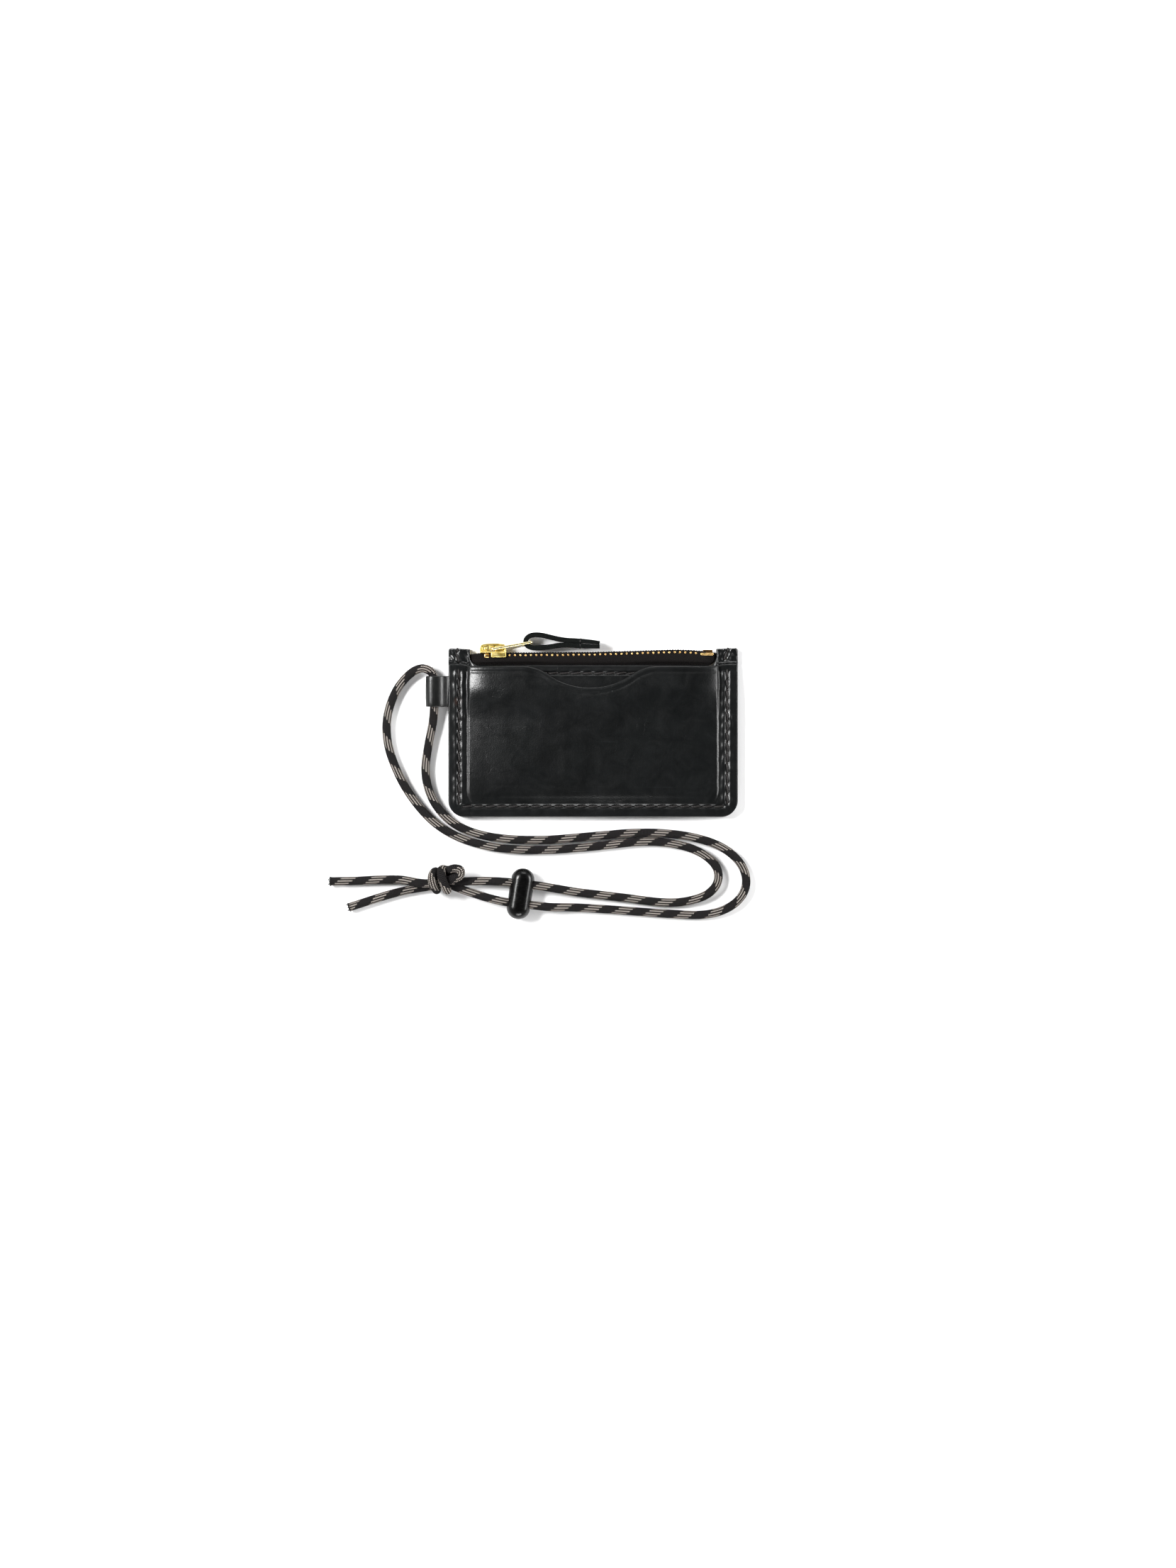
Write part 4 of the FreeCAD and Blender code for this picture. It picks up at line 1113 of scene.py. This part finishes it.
def make_teeth(name, node, side, shift):
    """A row of teeth: a shank that clamps the cord, coloured near-black as painted shade, and a
    rounded brass head.
    """
    parts = Parts()
    for n in range(TOOTH_COUNT):
        centre = FIRST_TOOTH + (n + shift) * TOOTH_PITCH
        lift = float(chain_height(centre)) + random.uniform(-0.05, 0.05)
        level = float(chain_level(centre))
        lean = random.uniform(-0.06, 0.06)
        climb = 0 if side > 0 else 0.3 + 0.2 * float(smooth((centre + 20) / 50))

        def place(x, y, z):
            return (centre + x + lean * y, lift + y + climb, level + side * z)

        # the shank, in painted shade
        rounded_box(parts, (-0.32, -0.35, -0.35), (0.32, 0.4, 1.3), 0.12, place, 2, 1)
        rounded_box(parts, (-0.43, -0.36, 1.1), (0.43, 0.45, 2.34), 0.3, place, 3)
        if side < 0:
            rounded_box(parts, (-0.3, -0.1, -1.3), (0.3, 0.42, -0.2), 0.2, place, 2)
    parts.finish(name, (BRASS, BRASS_PAINTED_SHADE), "pouch", "zip_brass", node, mirrored=side < 0)


def make_top_stop(name, node, side):
    parts = Parts()

    def place(x, y, z):
        return (*zip_place(x, z, y)[:2], ZIP_LEVEL + side * z)

    rounded_box(parts, (-3.8, -1.15, 0.5), (-1.5, 0.65, 2.45), 0.5, place, 4)
    parts.finish(name, (BRASS,), "pouch", "zip_brass", node, mirrored=side < 0)


def make_bottom_stop():
    """The staple that joins both rows, and its back half in near-black brass as painted shade.
    """
    parts = Parts()
    centre = 47.1
    level = float(chain_level(centre))

    def place(x, y, z):
        return (centre + x, 32.4 + y, level + z)

    rounded_box(parts, (-2.7, -0.5, -1.9), (2.7, 0.5, 2.35), 0.3, place, 3)
    # the back half, in painted shade
    rounded_box(parts, (-1.75, 0.3, -1.6), (2.3, 1.8, 1.7), 0.3, place, 3, 1)
    parts.finish("stop_bottom", (BRASS, BRASS_PAINTED_SHADE), "pouch", "zip_brass", "bottom_stop")


# The back row sits half a pitch further along than the front row.
make_tape("tape_front", "zip_tape_front", 1, 0, 1.7)
make_tape("tape_back", "zip_tape_back", -1, 0.5, 0)
make_teeth("teeth_front", "zip_teeth_front", 1, 0)
make_teeth("teeth_back", "zip_teeth_back", -1, 0.5)
make_top_stop("stop_front", "top_stop_front", 1)
make_top_stop("stop_back", "top_stop_back", -1)
make_bottom_stop()


# -------- slider and pull
def make_slider():
    def block(low, high, radius, segments):
        rounded_box(parts, low, high, radius, zip_place, segments)

    # two plates, the flanges, the dividing post and the inner rail
    parts = Parts()
    block((-5.5, -2.6, 0.98), (5.5, 2.6, 1.56), 0.24, 3)
    block((-2.6, -3.3, 0.96), (5.5, 3.3, 1.52), 0.26, 3)
    for low, high in ((-3.35, -2.5), (2.5, 3.35)):
        block((-0.9, low, -1), (5.4, high, 1.02), 0.36, 4)
    block((-5, -0.7, -1), (-3.8, 0.7, 1.1), 0.3, 3)
    block((-5.1, -1.75, -1.75), (5.1, 1.75, -0.98), 0.3, 3)
    parts.finish("slider_shell", (GOLD,), "slider", "gold_plate", "slider_body")
    # the bridge: a bent strap over a core that leaves room for the ring
    parts = Parts()
    route = [(-5.05, 1.3), (-5.25, 2.6), (-5, 4), (-3.2, 4.4), (0, 4.5), (3.4, 4.35),
             (4.85, 4.05), (4.95, 2.6), (4.9, 1.3)]
    strap(parts, [zip_place(a, 0, u) for a, u in route], [(0, 0.7), (1, 0.7)], 3.2,
          (0, 0, 1), 0.24, 0.25)
    core = 1.25
    block((-4.9, -core, 1.3), (-1.3, core, 4.2), 0.42, 4)
    block((0.75, -core, 1.3), (4.8, core, 4.2), 0.42, 4)
    block((-2, -core, 3.2), (1.5, core, 4.25), 0.42, 4)
    block((-3.9, -1.45, 1.9), (-2.3, 1.45, 3.5), 0.6, 5)
    block((2.6, -1.45, 1.9), (4.2, 1.45, 3.3), 0.6, 5)
    parts.finish("slider_bridge", (GOLD,), "slider", "gold_plate", "slider_cap")


def make_ring():
    """An upright wire link through the slider's eye and the thong's fold."""
    eye = np.array([-41.7856, 34.3931])
    bar = np.array([-25.4428, 37.3041])
    wire = 0.55
    low, high = 0.82, 6.88
    bend = 1.5
    inwards = (bar - eye) / norm(bar - eye) * bend
    middle = (eye + bar) / 2
    route = [(*middle, low)]
    for corner, first, last in ((bar, low, high), (eye, high, low)):
        step = bend if last > first else -bend
        away = -inwards if corner is bar else inwards
        route += [(*(corner + away), first), (*corner, first), (*corner, first + step),
                  (*corner, last - step), (*corner, last), (*(corner + away), last)]
    route.append((*middle, low))
    line = Line(spline(route, 14), up=(0.2, -1, 0))
    rows, sides = 240, 20
    distance, angle = tube_grid(line, rows, sides)
    parts = Parts()
    parts.loft(line.tube(distance, wire, angle), rows, sides)
    parts.finish("ring_wire", (RING_GOLD,), "pull_ring", "gold_plate", "pull_ring")


def make_thong():
    """A strip folded round the ring's far bar and sewn together past the fold."""
    route = [(2.75, 37.1), (-0.7, 37.55), (-5.2, 37.9), (-10.6, 38.1), (-14, 38.55),
             (-17.6, 39.4), (-21.2, 40.35), (-25.4, 40.5), (-27.9, 38.8), (-27.9, 36.2),
             (-25.4, 35), (-21.6, 35.05), (-17.6, 35.45), (-13.8, 36.2), (-9.6, 36.15),
             (-5.2, 35.8), (-1.6, 35.7), (2.75, 35.5)]
    ends = [(0, 1.5), (0.06, 1.7), (0.16, 2), (0.5, 2), (0.84, 2), (0.94, 1.8), (1, 1.5)]
    parts = Parts()
    strap(parts, [(x, y, ZIP_LEVEL) for x, y in route], ends, 4.4, (0, 0, 1), 0.32, 0.3)
    parts.finish("thong_strip", (SUEDE,), "pull_thong", "thong_leather", "pull_thong")
    parts = Parts()
    x = -5.3
    rope(parts, [(x - 0.1, 37.2, 5.9), (x, 38.2, 6), (x + 0.2, 38.75, 5.4),
                 (x + 0.2, 38.75, 2.4), (x, 38.2, 1.7), (x, 36.8, 1.8)], 0.3)
    rope(parts, [(x - 0.1, 36.6, 5.9), (x, 35.6, 6), (x - 0.1, 34.9, 5.2),
                 (x - 0.1, 34.9, 2.6), (x, 35.6, 1.7), (x, 36.8, 1.8)], 0.3)
    parts.finish("thong_sewing", (THREAD,), "pull_thong", "waxed_thread", "thong_stitch")


make_slider()
make_ring()
make_thong()


# -------- cord loop and bead
def make_loop():
    """The strap round the cord, its two ends sewn in between the pouch's sheets."""
    middle = 17
    route = [(-56, 2), (-60.2, 2.2), (-62.2, 5.4), (-64.6, 6.55), (-67.6, 6.4),
             (-69, 3.8), (-67.9, 0.9), (-65.2, 0.45), (-62.4, 1), (-60.2, 1.25),
             (-56, 1.3)]
    skived = [(0, 0.7), (0.14, 1.1), (0.25, 1.25), (0.8, 1.25), (0.9, 0.8), (1, 0.6)]
    parts = Parts()

    def flare(share, along):
        return 0.16 * abs(share) ** 2.5 * math.sin(math.pi * along)

    strap(parts, [(x, middle, z) for x, z in route], skived, 12.7, (0, 1, 0), 0.3, 0.3, flare)
    parts.finish("loop_strap", (LOOP_LEATHER,), "pouch", "pouch_leather", "cord_loop")


make_loop()
# the bead keeps its CAD shape and gets a detailed material
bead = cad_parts["cord_bead"]
bead.data.materials.clear()
bead.data.materials.append(BEAD.material)
